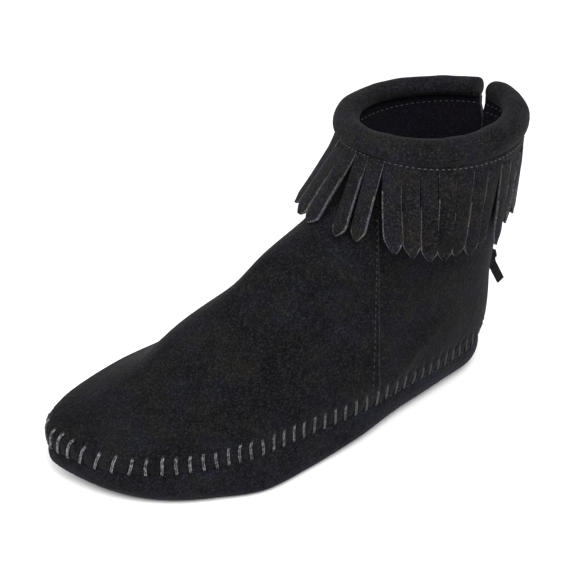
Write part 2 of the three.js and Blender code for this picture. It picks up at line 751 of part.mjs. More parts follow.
// Lace across the inside of the boot, out through both holes and in to the knot
function buildTieBar() {
  const beside = aroundOfBackY(SLIT_FOOT_Y + TIE_HOLE_SPACING / 2, TIE_HEIGHT);
  const inside = pointAtHeight(beside, TIE_HEIGHT).x + UPPER_WALL + 2 * GAP + LACE_THICKNESS / 2;
  const width = TIE_HOLE_SPACING + LACE_THICKNESS;
  const bar = boxSolid(LACE_THICKNESS, width, LACE_WIDTH, placed(inside, SLIT_FOOT_Y, TIE_HEIGHT));
  const knot = knotCentre();
  const outside = knot.x + KNOT_DEPTH / 2 - LACE_THICKNESS;
  const depthShare = (knot.x - outside) / (KNOT_DEPTH / 2);
  const knotSide = (KNOT_WIDTH / 2) * Math.sqrt(1 - depthShare ** 2) + GAP;
  const stub = width / 2 - knotSide;
  const length = inside - outside;
  return [1, -1].reduce((lace, side) => {
    const y = SLIT_FOOT_Y + (side * TIE_HOLE_SPACING) / 2;
    const legPlace = placed(outside + length / 2, y, TIE_HEIGHT);
    const leg = boxSolid(length, LACE_THICKNESS, LACE_WIDTH, legPlace);
    const stubY = SLIT_FOOT_Y + side * (knotSide + stub / 2);
    const stubPlace = placed(outside + LACE_THICKNESS / 2, stubY, TIE_HEIGHT);
    return lace.add(leg).add(boxSolid(LACE_THICKNESS, stub, LACE_WIDTH, stubPlace));
  }, bar);
}

function buildKnot() {
  const geometry = new THREE.SphereGeometry(0.5, 12, 8);
  geometry.deleteAttribute('normal');
  geometry.deleteAttribute('uv');
  geometry.scale(KNOT_DEPTH, KNOT_WIDTH, KNOT_HEIGHT);
  geometry.translate(...knotCentre().toArray());
  return solidFromGeometry(mergeVertices(geometry));
}

// Flat free end of the lace through its chosen points, its width turned to face sideways
function buildLaceEnd(points) {
  const line = new THREE.CatmullRomCurve3(points.map((point) => new THREE.Vector3(...point)));
  const steps = 8;
  const sections = [];
  for (let step = 0; step <= steps; step += 1) {
    const centre = line.getPointAt(step / steps);
    const down = line.getTangentAt(step / steps);
    const flat = new THREE.Vector3(0, 1, 0).addScaledVector(down, -down.y).normalize();
    const wide = new THREE.Vector3().crossVectors(down, flat).normalize();
    const corner = (w, f) => {
      const moved = centre.clone().addScaledVector(wide, (w * LACE_WIDTH) / 2);
      return moved.addScaledVector(flat, (f * LACE_THICKNESS) / 2);
    };
    sections.push([corner(-1, -1), corner(1, -1), corner(1, 1), corner(-1, 1)]);
  }
  return sweepSections(sections);
}

const CORD_NODES = ['tie_knot', 'tie_end_outer', 'tie_end_inner'];
const group = new THREE.Group();
group.add(nodeOf('sole', buildSole(), { color: 0x1c1c20 }));
group.add(nodeOf('insole', buildInsole(), { color: 0x131217 }));
group.add(nodeOf('upper', buildUpper()));
group.add(nodeOf('collar', buildCollar()));
group.add(nodeOf('fringe', buildFringe(), { color: 0x262528 }));
group.add(nodeOf('heel_tab', buildTab()));
group.add(nodeOf('tie_bar', buildTieBar(), { color: 0x1e1e21 }));
group.add(nodeOf('tie_knot', buildKnot(), { color: 0x1e1e21 }));
group.add(nodeOf('tie_end_outer', buildLaceEnd(LACE_END_OUTER), { color: 0x1e1e21 }));
group.add(nodeOf('tie_end_inner', buildLaceEnd(LACE_END_INNER), { color: 0x1e1e21 }));

// The origin is on the floor under the middle of the boot
const bounds = new THREE.Box3();
group.children.forEach((node) => {
  if (!CORD_NODES.includes(node.name)) bounds.expandByObject(node);
});
const middle = bounds.getCenter(new THREE.Vector3());
group.position.set(-middle.x, -middle.y, -bounds.min.z);

export default group;
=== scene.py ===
"""Looks of a left ankle moccasin boot in black suede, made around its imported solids.

Shapes are worked out in millimetres, X from heel to toe, Y to the outer side and Z up from the floor,
with the heel's seam at X = 0. place() moves them into the frame and turns them into metres.
"""

import math

import bmesh
import bpy
import numpy as np
from mathutils import Matrix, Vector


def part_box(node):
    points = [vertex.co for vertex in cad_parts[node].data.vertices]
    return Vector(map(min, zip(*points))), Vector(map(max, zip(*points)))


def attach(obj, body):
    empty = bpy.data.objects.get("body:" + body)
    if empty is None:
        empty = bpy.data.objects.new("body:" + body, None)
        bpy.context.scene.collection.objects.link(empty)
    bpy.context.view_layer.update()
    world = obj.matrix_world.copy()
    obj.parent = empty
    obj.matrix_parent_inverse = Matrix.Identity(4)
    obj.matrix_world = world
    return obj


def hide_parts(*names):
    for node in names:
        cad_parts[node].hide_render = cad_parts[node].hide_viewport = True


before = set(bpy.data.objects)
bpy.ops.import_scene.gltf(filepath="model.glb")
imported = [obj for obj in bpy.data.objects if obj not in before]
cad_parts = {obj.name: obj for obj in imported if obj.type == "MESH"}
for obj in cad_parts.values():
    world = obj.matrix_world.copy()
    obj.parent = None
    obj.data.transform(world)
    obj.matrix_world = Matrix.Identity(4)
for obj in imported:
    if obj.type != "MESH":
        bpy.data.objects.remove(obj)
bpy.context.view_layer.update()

# Driving sizes of the boot, as in its solids
FOOT_LENGTH = 248
OUTER_SIDES = (34, 47, 51)
INNER_SIDES = (33, 34, 46)
TOE_TIP_INWARD = 15
SEAM_HEIGHT = 20
SEAM_TOE_DROP = 3
SEAM_HEEL_DROP = 1.5
INSTEP_HEIGHT = 75
COLLAR_FRONT_HEIGHT = 143
COLLAR_BACK_HEIGHT = 147
COLLAR_END_RISE = 2.5
COLLAR_CENTRE = np.array([37.5, 5.5])
COLLAR_HALVES = np.array([45, 41])
ROLL_HALF_THICKNESS = 7
ROLL_HEIGHT_ABOVE = 6.3
ROLL_DEPTH_INSIDE = 5.5
ROLL_DEPTH_OUTSIDE = 8.5
ROLL_TILT = 1.2
HEEL_BULGE = 4
TOE_BULGE = 3
ACHILLES_HOLLOW = 1.5
SIDE_BULGE = 2
ANKLE_HOLLOW = 5
UPPER_WALL = 2
SOLE_WALL = 2.4
GAP = 0.3
VAMP_STEP = 0.8
SOLE_BULGE = 1
SOLE_TUCK = 6.5
TREAD_FLARES = (8, 4)
ARCH_RISE = 1.5
TOE_SPRING = 4.5
ARCH_START = 0.27
ARCH_END = 0.58
SPRING_START = 0.84
INSOLE_THICKNESS = 4
SIDE_SEAM_X = 94
SIDE_SEAM_TURN = math.radians(37)
SIDE_SEAM_LEAN = math.atan(0.03)
SLIT_FOOT_HEIGHT = 50
SLIT_MOUTH_WIDTH = 6
SLIT_TOP_Y = -4.5
SLIT_FOOT_Y = 3.5
TAB_TOP_HEIGHT = 43
TAB_WIDTH = 26
TAB_ROUND = 5
TAB_THICKNESS = 1.8
TAB_FOOT_SHARE = 0.024
FRINGE_LENGTH = 46
FRINGE_SLOPE_FRONT = 0.6
FRINGE_SLOPE_BACK = -0.08
FRINGE_CLEARANCE = 1.3
FRINGE_TOP_DROP = 2
FRINGE_STEP = 3
STRIP_PITCH = 8.1
LACE_THICKNESS = 1.4
TIE_HEIGHT = 54
TIE_HOLE_SPACING = 13
KNOT_SIZE = np.array([8.5, 9, 9])
KNOT_STANDOFF = 3.5

# How the solids are drawn, which the looks repeat
CREEP = 3.2
SEAM_CREEP = 0.15
SEAM_DIVISIONS = 960
SOLID_COLUMNS = 64
ROLL_SIDES = 12
STRIDE = 0.002
RISE_STRIDE = 0.01
BACK_PART = 0.2

# Where the looks meet the photo more closely than the solids do
SLIT_WIDTH = 0.5
SLIT_MOUTH_DEPTH = 11
COLLAR_CANT = 1.2
COLLAR_FRONT_LIFT = 2.2
COLLAR_FRONT_BACK = 0.8
COLLAR_INNER_LIFT = 2.1
COLLAR_INNER_TWIST = 1.2
ROLL_FLATTEN = 0.06
ROLL_FRONT_FLATTEN = 0.42
ROLL_INNER_FLATTEN = 0.34
ROLL_FRONT_THIN = 0.08
ROLL_END_SHORT = 0.06
FRINGE_FRONT_RISE = 1.4
STRIP_THICKNESS = 1.4
BAND_THICKNESS = 1.15 * STRIP_THICKNESS
LACE_WIDTH = 5
LACE_END_OUTER = [(-11.4, 4.8, 49.4), (-13.2, 5.4, 45.4), (-15.6, 5.6, 41), (-18.1, 5.6, 36.6)]
LACE_END_INNER = [(-11.2, 1.6, 50), (-12.1, -1.8, 46.2), (-12.6, -5.6, 41.4), (-12.4, -9, 37)]

# Seam outline from heel to toe: along, shares of heel, waist and ball widths, tip, drop, low, flare
PLAN = np.array([
    (0.0, 0, 0, 0, 0, 0, 1, 0),
    (0.02, 0.44, 0, 0, 0, 0, 1, -0.2),
    (0.07, 0.78, 0, 0, 0, 0, 1, -0.4),
    (0.16, 1, 0, 0, 0, 0, 1, -0.6),
    (0.3, 0.45, 0.55, 0, 0, 0, 0.8, -0.4),
    (0.43, 0, 1, 0, 0, 0, 0.4, 0.3),
    (0.56, 0, 0.42, 0.58, 0, 0, 0, 0.75),
    (0.68, 0, 0, 1, 0, 0, 0, 1),
    (0.78, 0, 0, 0.94, 0.04, 0.1, 0, 0.42),
    (0.87, 0, 0, 0.78, 0.18, 0.4, 0, 0.2),
    (0.94, 0, 0, 0.55, 0.42, 0.7, 0, 0),
    (0.985, 0, 0, 0.24, 0.78, 0.95, 0, 0),
    (1.0, 0, 0, 0, 1, 1, 0, 0),
])

# Level sections of the upper from seam to rim: foot, shaft, reach, bulge, hollow
SECTIONS = np.array([
    (0, 0, 0, 0, 0),
    (0.18, 0, 0.015, 0.9, 0),
    (0.32, 0, 0.15, 0.6, 0),
    (0.46, 0, 0.275, 0.25, 0.1),
    (0.71, 0, 0.395, 0, 0.5),
    (1, 0, 0.58, 0, 1),
    (1, 0.24, 0.69, 0, 0.75),
    (1, 0.49, 0.86, 0, 0.3),
    (1, 0.745, 0.96, 0, 0.08),
    (1, 1, 1, 0, 0),
])

# Side of the sole from floor to seam: up, bulge, tuck, flare
SOLE_SIDE = np.array([
    (0, 0, 1, 1),
    (0.05, 0, 0.66, 1),
    (0.16, 0, 0.3, 0.95),
    (0.36, 0.4, 0, 0.72),
    (0.65, 1, 0, 0.35),
    (1, 0, 0, 0),
])

# Soft troughs and ridges of the upper, placed on one side of the boot, as seen from that side:
# side, start x and z, end x and z, height, half width
CREASES = [
    (1, 133, 60, 112, 36, -0.5, 5.0),
    (1, 147, 55, 130, 30, -0.35, 4.5),
    (1, 90, 27, 52, 50, 0.85, 5.5),
    (1, 34, 62, 12, 44, -0.35, 5.0),
    (1, 78, 92, 60, 70, -0.4, 6.0),
    (1, 205, 34, 180, 26, 0.3, 7.0),
    (-1, 130, 58, 108, 34, -0.55, 5.0),
    (-1, 146, 52, 128, 28, -0.4, 4.5),
    (-1, 88, 30, 54, 46, 0.5, 7.0),
    (-1, 36, 60, 14, 40, -0.35, 5.0),
    (-1, 76, 90, 58, 72, -0.4, 6.0),
    (-1, 200, 32, 176, 25, 0.3, 7.0),
]

# Whipstitch: spacing of the bars by share of the seam from heel to toe on either side
STITCH_SHARES = [0, 0.2, 0.32, 0.38, 0.45, 0.7, 0.78, 0.9, 1]
STITCH_PITCHES = [5.6, 5.9, 6.6, 7.8, 6.4, 5.6, 6.6, 8.8, 5.2]

# Height of a bar over the seam and how far its top leans to the heel, along the boot
STITCH_X = [0, 22, 35, 65, 95, 190, 215, 228, 240, 248]
STITCH_HEIGHTS = [9.5, 9, 6.4, 6, 9.2, 10.6, 9.6, 9.2, 10.4, 12.4]
STITCH_LEANS = [-4, -6, -3, -0.6, -1.8, -1, 0.6, 3, 5, 4]
STITCH_FOOT = 0.9
STITCH_PULL = 0.6
SOLE_PULL = 0.3
SEAM_ROUNDING = 0.35
HOLE_SINK = 0.06

# The upper's rim goes on up into the roll, by this much and in so many more rows
RIM_EXTENSION = 5
RIM_ROWS = 2

# How finely the skins are drawn
UPPER_COLUMNS = 520
UPPER_ROWS = 92
LINING_ROWS = 46
FOOT_SHARE = 0.03
SOLE_COLUMNS = 520
INSOLE_COLUMNS = 360
CAP_STEPS = 18
ROLL_SECTIONS = 340
ROLL_FINE_SIDES = 32

MM = 0.001
ROOT = "root"
rng = np.random.default_rng(7)


# Curves

NO_SPAN = 1e-4


def catmull(points, at, closed=False):
    """Centripetal Catmull-Rom line through points (n, 3), or for each of N places through (N, n, 3)."""
    at = np.asarray(at, float)
    count = points.shape[-2]
    place = at * (count if closed else count - 1)
    left = np.floor(place).astype(int)
    if closed:
        order = [(left + k) % count for k in (-1, 0, 1, 2)]
        source = points
    else:
        left = np.clip(left, 0, count - 2)
        before = 2 * points[..., :1, :] - points[..., 1:2, :]
        after = 2 * points[..., -1:, :] - points[..., -2:-1, :]
        source = np.concatenate([before, points, after], axis=-2)
        order = [left + k for k in range(4)]
    if points.ndim == 2:
        p = [source[each] for each in order]
    else:
        rows = np.arange(len(points))
        p = [source[rows, each] for each in order]
    share = (place - left)[..., None]
    spans = [np.linalg.norm(p[k + 1] - p[k], axis=-1, keepdims=True) ** 0.5 for k in range(3)]
    middle = np.where(spans[1] < NO_SPAN, 1, spans[1])
    first = np.where(spans[0] < NO_SPAN, middle, spans[0])
    last = np.where(spans[2] < NO_SPAN, middle, spans[2])
    leave = (p[1] - p[0]) / first - (p[2] - p[0]) / (first + middle) + (p[2] - p[1]) / middle
    arrive = (p[2] - p[1]) / middle - (p[3] - p[1]) / (middle + last) + (p[3] - p[2]) / last
    leave = leave * middle
    arrive = arrive * middle
    square = -3 * p[1] + 3 * p[2] - 2 * leave - arrive
    cube = 2 * p[1] - 2 * p[2] + leave + arrive
    return p[1] + leave * share + square * share ** 2 + cube * share ** 3


def smooth_share(value):
    value = np.clip(value, 0, 1)
    return value * value * (3 - 2 * value)


def unit(vectors):
    return vectors / np.maximum(np.linalg.norm(vectors, axis=-1, keepdims=True), 1e-9)


def first_not_below(low, high, is_below):
    """Halves the way between two arrays of values until each is the first that isn't below its goal."""
    low = np.array(low, float)
    high = np.array(high, float)
    for _ in range(22):
        middle = (low + high) / 2
        below = is_below(middle)
        low = np.where(below, middle, low)
        high = np.where(below, high, middle)
    return high


def lengths_along(points):
    """Length of a line up to each of its points, for one line or for many."""
    strides = np.linalg.norm(np.diff(points, axis=-2), axis=-1)
    start = np.zeros(strides.shape[:-1] + (1,))
    return np.concatenate([start, np.cumsum(strides, axis=-1)], axis=-1)


def along_line(at, lengths, values):
    """Values that belong to the points of a line, at lengths along it."""
    return np.stack([np.interp(at, lengths, values[:, k]) for k in range(3)], axis=-1)


def bell(offset, half_width):
    return np.exp(-(offset / half_width) ** 2)


def level_out(ahead):
    """Level directions to the outside of the ways ahead round the boot."""
    return unit(np.stack([-ahead[..., 1], ahead[..., 0], 0 * ahead[..., 0]], axis=-1))


# Skin of the boot, with the same functions as its solids

def seam_stations(rows, side):
    """Points of the seam on one side of the boot, from rows of its plan."""
    along, heel, waist, ball, tip, drop, low = rows[:, :7].T
    widths = OUTER_SIDES if side > 0 else INNER_SIDES
    y = side * (heel * widths[0] + waist * widths[1] + ball * widths[2]) - tip * TOE_TIP_INWARD
    z = SEAM_HEIGHT - drop * SEAM_TOE_DROP - low * SEAM_HEEL_DROP
    return np.column_stack([along * FOOT_LENGTH, y, z])


INNER_PLAN = PLAN[-2:0:-1]
SEAM = np.vstack([seam_stations(PLAN, 1), seam_stations(INNER_PLAN, -1)])
FLARES = np.concatenate([PLAN[:, 7] * TREAD_FLARES[0], -INNER_PLAN[:, 7] * TREAD_FLARES[1]])
FLARE_LINE = np.column_stack([np.arange(len(FLARES)), FLARES, np.zeros(len(FLARES))])
SEAM_STEPS = np.arange(SEAM_DIVISIONS + 1) / SEAM_DIVISIONS
SEAM_LENGTHS = lengths_along(catmull(SEAM, SEAM_STEPS, True))
SEAM_TOTAL = SEAM_LENGTHS[-1]
TOE_SHARE = SEAM_LENGTHS[SEAM_DIVISIONS // 2] / SEAM_TOTAL


def side_of(around):
    """Whether places round the boot are on its outer side, and the share of the way from heel to toe."""
    where = np.mod(around, 1)
    outer = where <= 0.5
    return outer, np.where(outer, 2 * where, 2 * (1 - where))


def seam_length(around):
    """Length of seam from the heel over the outer side to a place round the boot."""
    outer, share = side_of(around)
    along = share / (1 + SEAM_CREEP * (1 - share))
    return SEAM_TOTAL * np.where(outer, along * TOE_SHARE, 1 - along * (1 - TOE_SHARE))


def seam_parameter(around):
    return np.interp(seam_length(around), SEAM_LENGTHS, SEAM_STEPS)


def around_of_length(length):
    places = np.linspace(0, 1, 4001)
    lengths = seam_length(places)
    lengths[-1] = SEAM_TOTAL
    return np.interp(np.mod(length, SEAM_TOTAL), lengths, places)


def seam_at(around):
    return catmull(SEAM, seam_parameter(around), True)


def seam_out(around):
    return level_out(seam_at(around + STRIDE) - seam_at(around - STRIDE))


def flare_at(around):
    station = seam_parameter(around) * len(FLARES)
    last = len(FLARES) - 1
    inside = catmull(FLARE_LINE, np.minimum(station / last, 1))[..., 1]
    return np.where(station < last, inside, 0)


def collar_angle(around):
    outer, share = side_of(around)
    turn = math.pi * CREEP * share / (1 + (CREEP - 1) * share)
    return np.where(outer, turn, -turn)


def around_at(angle):
    turn = np.mod(angle, 2 * math.pi)
    outer = turn <= math.pi
    part = np.where(outer, turn, 2 * math.pi - turn) / math.pi
    share = part / (CREEP - (CREEP - 1) * part)
    return np.where(outer, share / 2, 1 - share / 2)


def roll_section(turn):
    """Outward from the roll's middle and up from it, at turns round its section."""
    outside = (1 + np.cos(turn)) / 2
    depth = ROLL_DEPTH_INSIDE + outside * (ROLL_DEPTH_OUTSIDE - ROLL_DEPTH_INSIDE)
    swell = np.sin(turn) * np.where(np.mod(turn, 2 * math.pi) < math.pi, ROLL_HEIGHT_ABOVE, depth)
    return ROLL_HALF_THICKNESS * np.cos(turn), swell - ROLL_TILT * np.cos(turn)


def front_share(angle):
    """1 at the collar's front, falling away quickly to both sides."""
    return ((1 - np.cos(angle)) / 2) ** 5


def collar_shift(angle):
    """How far the soft collar gives: up on the outer side, up and back in front, arched on the inner side."""
    front = front_share(angle)
    back = -COLLAR_FRONT_BACK * front
    inner = np.maximum(-np.sin(angle), 0)
    arched = COLLAR_INNER_LIFT * inner + COLLAR_INNER_TWIST * np.sin(2 * angle)
    arched = arched * smooth_share((inner - 0.3) / 0.5)
    lift = COLLAR_CANT * np.sin(angle) + COLLAR_FRONT_LIFT * front + arched
    return np.stack([back, 0 * back, lift], axis=-1)


RIM_DROP = GAP - roll_section(2 * math.pi * np.arange(ROLL_SIDES) / ROLL_SIDES)[1].min()


def roll_centre(angle):
    xy = COLLAR_CENTRE + COLLAR_HALVES * np.stack([-np.cos(angle), np.sin(angle)], axis=-1)
    back = (1 + np.cos(angle)) / 2
    z = COLLAR_FRONT_HEIGHT + back * (COLLAR_BACK_HEIGHT - COLLAR_FRONT_HEIGHT)
    return np.concatenate([xy, (z + COLLAR_END_RISE * back ** 8)[..., None]], axis=-1)


def ring_directions(angle):
    """Level directions along the collar ring and straight out from it."""
    ahead = roll_centre(angle + 0.01) - roll_centre(angle - 0.01)
    ahead[..., 2] = 0
    return unit(ahead), level_out(ahead)


def skin_sections(around):
    """Points that carry the upper's skin from seam to rim, at places round the boot."""
    foot, shaft, reach, bulge, hollow = SECTIONS.T
    seam = seam_at(around)[:, None]
    rim = roll_centre(collar_angle(around))[:, None].copy()
    rim[..., 2] -= RIM_DROP
    outer, share = side_of(around)
    behind = (np.cos(math.pi * share / 2) ** 4)[:, None]
    ahead = (np.sin(math.pi * share / 2) ** 8)[:, None]
    beside = (np.where(outer, 1, -1) * np.sin(math.pi * share))[:, None]
    points = seam + (rim - seam) * reach[:, None]
    points[..., 0] += ahead * bulge * TOE_BULGE - behind * (bulge * HEEL_BULGE - hollow * ACHILLES_HOLLOW)
    points[..., 1] += beside * (bulge * SIDE_BULGE - hollow * ANKLE_HOLLOW)
    instep = seam[..., 2] + (INSTEP_HEIGHT - seam[..., 2]) * foot
    points[..., 2] = instep + (rim[..., 2] - instep) * shaft
    return points


def skin(around, up):
    """Points on the skin at places round the boot and shares of the way up."""
    around, up = np.broadcast_arrays(around, up)
    found = catmull(skin_sections(around.ravel()), up.ravel())
    return found.reshape(around.shape + (3,))


def skin_out(around, up):
    """Outward directions of the skin."""
    sideways = skin(around + STRIDE, up) - skin(around - STRIDE, up)
    upward = skin(around, np.minimum(up + RISE_STRIDE, 1)) - skin(around, np.maximum(up - RISE_STRIDE, 0))
    return unit(np.cross(upward, sideways))


def height_share(around, height):
    around, height = np.broadcast_arrays(around, height)
    return first_not_below(0 * around, 1 + 0 * around, lambda up: skin(around, up)[..., 2] < height)


def place_of_back_y(y, height):
    """Place round the heel where the skin at a height is so far to the outer side."""
    y, height = np.broadcast_arrays(np.asarray(y, float), np.asarray(height, float))

    def is_below(around):
        return skin(around, height_share(around, height))[..., 1] < y

    return first_not_below(0 * y - BACK_PART, 0 * y + BACK_PART, is_below)


def slit_y(height):
    """How far to the outer side the slit's middle is."""
    share = (height - SLIT_FOOT_HEIGHT) / (COLLAR_BACK_HEIGHT - SLIT_FOOT_HEIGHT)
    return SLIT_FOOT_Y + np.maximum(share, 0) * (SLIT_TOP_Y - SLIT_FOOT_Y)


def slit_width(height):
    opening = SLIT_WIDTH * smooth_share((height - SLIT_FOOT_HEIGHT) / 3)
    mouth = (height - COLLAR_BACK_HEIGHT + SLIT_MOUTH_DEPTH) / SLIT_MOUTH_DEPTH
    return opening + (SLIT_MOUTH_WIDTH - SLIT_WIDTH) * np.clip(mouth, 0, 1)


def slit_edges(up):
    """Places round the boot of the slit's two edges at each level. They meet where there is no slit."""
    places = np.linspace(-0.14, 0.14, 141)
    points = skin(places[:, None], up[None, :])
    height = points[len(places) // 2, :, 2]
    edges = []
    for side in (1, -1):
        goal = slit_y(height) + side * slit_width(height) / 2
        edges.append([np.interp(goal[k], points[:, k, 1], places) for k in range(len(up))])
    return np.array(edges[0]), 1 + np.array(edges[1]), height < SLIT_FOOT_HEIGHT


SEAM_GRID = seam_at(np.linspace(0, 1, 2001))


def side_seam_planes():
    """A point on each side seam and the direction into the vamp from it."""
    level = math.cos(SIDE_SEAM_LEAN)
    along = level * math.cos(SIDE_SEAM_TURN)
    across = level * math.sin(SIDE_SEAM_TURN)
    planes = []
    for side, half in ((1, SEAM_GRID[:1001]), (-1, SEAM_GRID[1000:])):
        foot = half[np.abs(half[:, 0] - SIDE_SEAM_X).argmin()]
        planes.append((foot, np.array([along, -side * across, -math.sin(SIDE_SEAM_LEAN)])))
    return planes


SIDE_SEAMS = side_seam_planes()


def into_vamp(points):
    """How far points lie in front of the side seams."""
    return np.minimum(*[(points - foot) @ into for foot, into in SIDE_SEAMS])


def floor_height(x):
    """Height of the sole's underside: raised under the arch and sprung up at the toe."""
    along = x / FOOT_LENGTH
    arch = np.clip((along - ARCH_START) / (ARCH_END - ARCH_START), 0, 1)
    spring = np.clip((along - SPRING_START) / (1 - SPRING_START), 0, 1)
    return ARCH_RISE * np.sin(math.pi * arch) ** 2 + TOE_SPRING * spring ** 2


SOLE_PROFILE = catmull(SOLE_SIDE[:, [0, 1, 2]], np.linspace(0, 1, 401))
FLARE_PROFILE = catmull(SOLE_SIDE[:, [0, 3, 3]], np.linspace(0, 1, 401))


def sole_point(around, up, wall=0.0, out=0.0):
    """Points on the side of the sole at shares of the way up, moved in by a wall and out by a relief."""
    seam = seam_at(around)
    swell = np.interp(up, SOLE_PROFILE[:, 0], SOLE_PROFILE[:, 1]) * SOLE_BULGE
    tuck = np.interp(up, SOLE_PROFILE[:, 0], SOLE_PROFILE[:, 2]) * SOLE_TUCK
    spread = np.interp(up, FLARE_PROFILE[:, 0], FLARE_PROFILE[:, 1])
    point = seam + seam_out(around) * (swell - tuck - wall + out)[..., None]
    point[..., 1] += spread * flare_at(around)
    floor = floor_height(point[..., 0]) + wall
    point[..., 2] = floor + (seam[..., 2] - GAP - floor) * up
    return point


def frame_shift():
    """From the boot's own origin to the solids', by the lowest corner of the sole's box in both."""
    columns = np.arange(SOLID_COLUMNS) / SOLID_COLUMNS
    corners = []
    for bulge, tuck, flare in SOLE_SIDE[:, 1:]:
        corner = seam_at(columns) + seam_out(columns) * (bulge * SOLE_BULGE - tuck * SOLE_TUCK)
        corner[:, 1] += flare * flare_at(columns)
        corners.append(corner)
    low = np.vstack(corners).min(axis=0)
    cad_low = np.array(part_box("sole")[0]) / MM
    return np.array([cad_low[0] - low[0], cad_low[1] - low[1], 0])


SHIFT = frame_shift()


def place(points):
    """Millimetres of the boot to metres in the frame."""
    return (np.asarray(points, float).reshape(-1, 3) + SHIFT) * MM


# Meshes

def new_piece(name, points, faces, materials, slots=None):
    """A mesh in the frame, with its faces turned outward and smooth."""
    mesh = bpy.data.meshes.new(name)
    mesh.from_pydata(place(points).tolist(), [], faces)
    for material in materials:
        mesh.materials.append(material)
    if slots is not None:
        mesh.polygons.foreach_set("material_index", np.asarray(slots, np.int32))
    mesh.polygons.foreach_set("use_smooth", np.ones(len(mesh.polygons), bool))
    form = bmesh.new()
    form.from_mesh(mesh)
    bmesh.ops.recalc_face_normals(form, faces=form.faces)
    form.to_mesh(mesh)
    form.free()
    mesh.update()
    piece = bpy.data.objects.new(name, mesh)
    bpy.context.scene.collection.objects.link(piece)
    return piece


def grid_faces(index, wrap_rows=False, wrap_columns=False):
    """Quads over a grid of vertex numbers."""
    if wrap_rows:
        index = np.vstack([index, index[:1]])
    if wrap_columns:
        index = np.hstack([index, index[:, :1]])
    quads = np.stack([index[:-1, :-1], index[1:, :-1], index[1:, 1:], index[:-1, 1:]], axis=-1)
    return quads.reshape(-1, 4).tolist()


def tube_faces(rings, sides, first=0):
    """Quads round a tube of rings, and one face over each end."""
    numbers = first + np.arange(rings * sides).reshape(rings, sides)
    return grid_faces(numbers, wrap_columns=True) + [numbers[0].tolist()[::-1], numbers[-1].tolist()]


def finish_piece(piece, slot, *nodes):
    """Ties a piece to the root and hides the solids that it stands for. Its slot is not used."""
    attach(piece, ROOT)
    if nodes:
        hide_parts(*nodes)
    return piece


def cross_cap(ring, first, next_free, height):
    """Points and faces straight across a closed ring of even count, pair by pair from heel to toe."""
    count = len(ring)
    half = count // 2
    share = np.arange(1, CAP_STEPS) / CAP_STEPS
    outer = ring[1:half]
    inner = ring[count - 1:half:-1]
    inside = outer[:, None] + (inner - outer)[:, None] * share[None, :, None]
    inside[..., 2] = height(inside, share)
    numbers = np.zeros((half - 1, CAP_STEPS + 1), int)
    numbers[:, 0] = first + np.arange(1, half)
    numbers[:, 1:-1] = next_free + np.arange((half - 1) * (CAP_STEPS - 1)).reshape(half - 1, -1)
    numbers[:, -1] = first + np.arange(count - 1, half, -1)
    faces = grid_faces(numbers)
    for tip, row in ((first, numbers[0]), (first + half, numbers[-1])):
        faces += [[tip, row[k], row[k + 1]] for k in range(CAP_STEPS)]
    return inside.reshape(-1, 3), faces


def stacked_rings(rings, bottom, top):
    """Closed solid of rings with a cap straight across below and above."""
    points = rings.reshape(-1, 3)
    numbers = np.arange(len(points)).reshape(rings.shape[:2])
    faces = grid_faces(numbers, wrap_columns=True)
    low, low_faces = cross_cap(rings[0], 0, len(points), bottom)
    points = np.vstack([points, low])
    high, high_faces = cross_cap(rings[-1], int(numbers[-1, 0]), len(points), top)
    return np.vstack([points, high]), faces + low_faces + high_faces


def ribbon_rings(paths, wide, thick, width, thickness, square=1.0, taper=None, sides=8):
    """Rings of sections along K paths (K, P, 3), wide and thick being their directions.

    The less square is, the flatter the sides of a section are.
    """
    turn = 2 * math.pi * np.arange(sides) / sides
    across = np.sign(np.cos(turn)) * np.abs(np.cos(turn)) ** square * width / 2
    over = np.sign(np.sin(turn)) * np.abs(np.sin(turn)) ** square * thickness / 2
    scale = np.ones(paths.shape[1]) if taper is None else np.asarray(taper)
    scale = scale[None, :, None, None]
    ring = wide[:, :, None] * across[None, None, :, None] + thick[:, :, None] * over[None, None, :, None]
    return paths[:, :, None] + ring * scale


def ribbon_piece(name, rings, material):
    """One mesh of K closed ribbons from their rings (K, P, sides, 3)."""
    count, stations, sides = rings.shape[:3]
    faces = []
    for first in range(0, count * stations * sides, stations * sides):
        faces += tube_faces(stations, sides, first)
    return new_piece(name, rings.reshape(-1, 3), faces, [material])


def thread_piece(name, paths, normals, width, thickness, material, ends=0.55):
    """Stitches: short threads along paths that lie on a surface with these outward directions."""
    along = unit(np.gradient(paths, axis=1))
    wide = unit(np.cross(along, normals))
    thick = unit(np.cross(wide, along))
    taper = np.ones(paths.shape[1])
    taper[[0, -1]] = ends
    rings = ribbon_rings(paths, wide, thick, width, thickness, taper=taper)
    return ribbon_piece(name, rings, material)


# Materials

BLACK = (0, 0, 0)
WHITE = (1, 1, 1)
COOL_TINT = (0.78, 0.88, 1.46)
WARM_TINT = (1.2, 1.06, 0.66)
SHEEN_TINT = (0.62, 0.62, 0.68)
SHEEN = 0.05
SHEEN_ROUGHNESS = 0.4

# Where along the boot the thread turns from painted shade to painted light, darker towards the heel and paler
# towards the toe, in metres of the frame
SHADED_UP_TO = -0.06
LIT_FROM = 0.11

# Sockets of a mix node by place, because those for colours share their names with others
MIX_FACTOR = 0
MIX_A = 6
MIX_B = 7
MIX_RESULT = 2


def feed(tree, entry, value):
    """Gives an input its value: a socket to link, a colour or a number."""
    if isinstance(value, bpy.types.NodeSocket):
        tree.links.new(value, entry)
    elif entry.type == "RGBA":
        entry.default_value = (*value, 1)
    else:
        entry.default_value = value


def node(tree, kind, **values):
    """A new node with its settings and inputs."""
    made = tree.nodes.new(kind)
    for name, value in values.items():
        if hasattr(made, name):
            setattr(made, name, value)
        else:
            feed(tree, made.inputs[name], value)
    return made


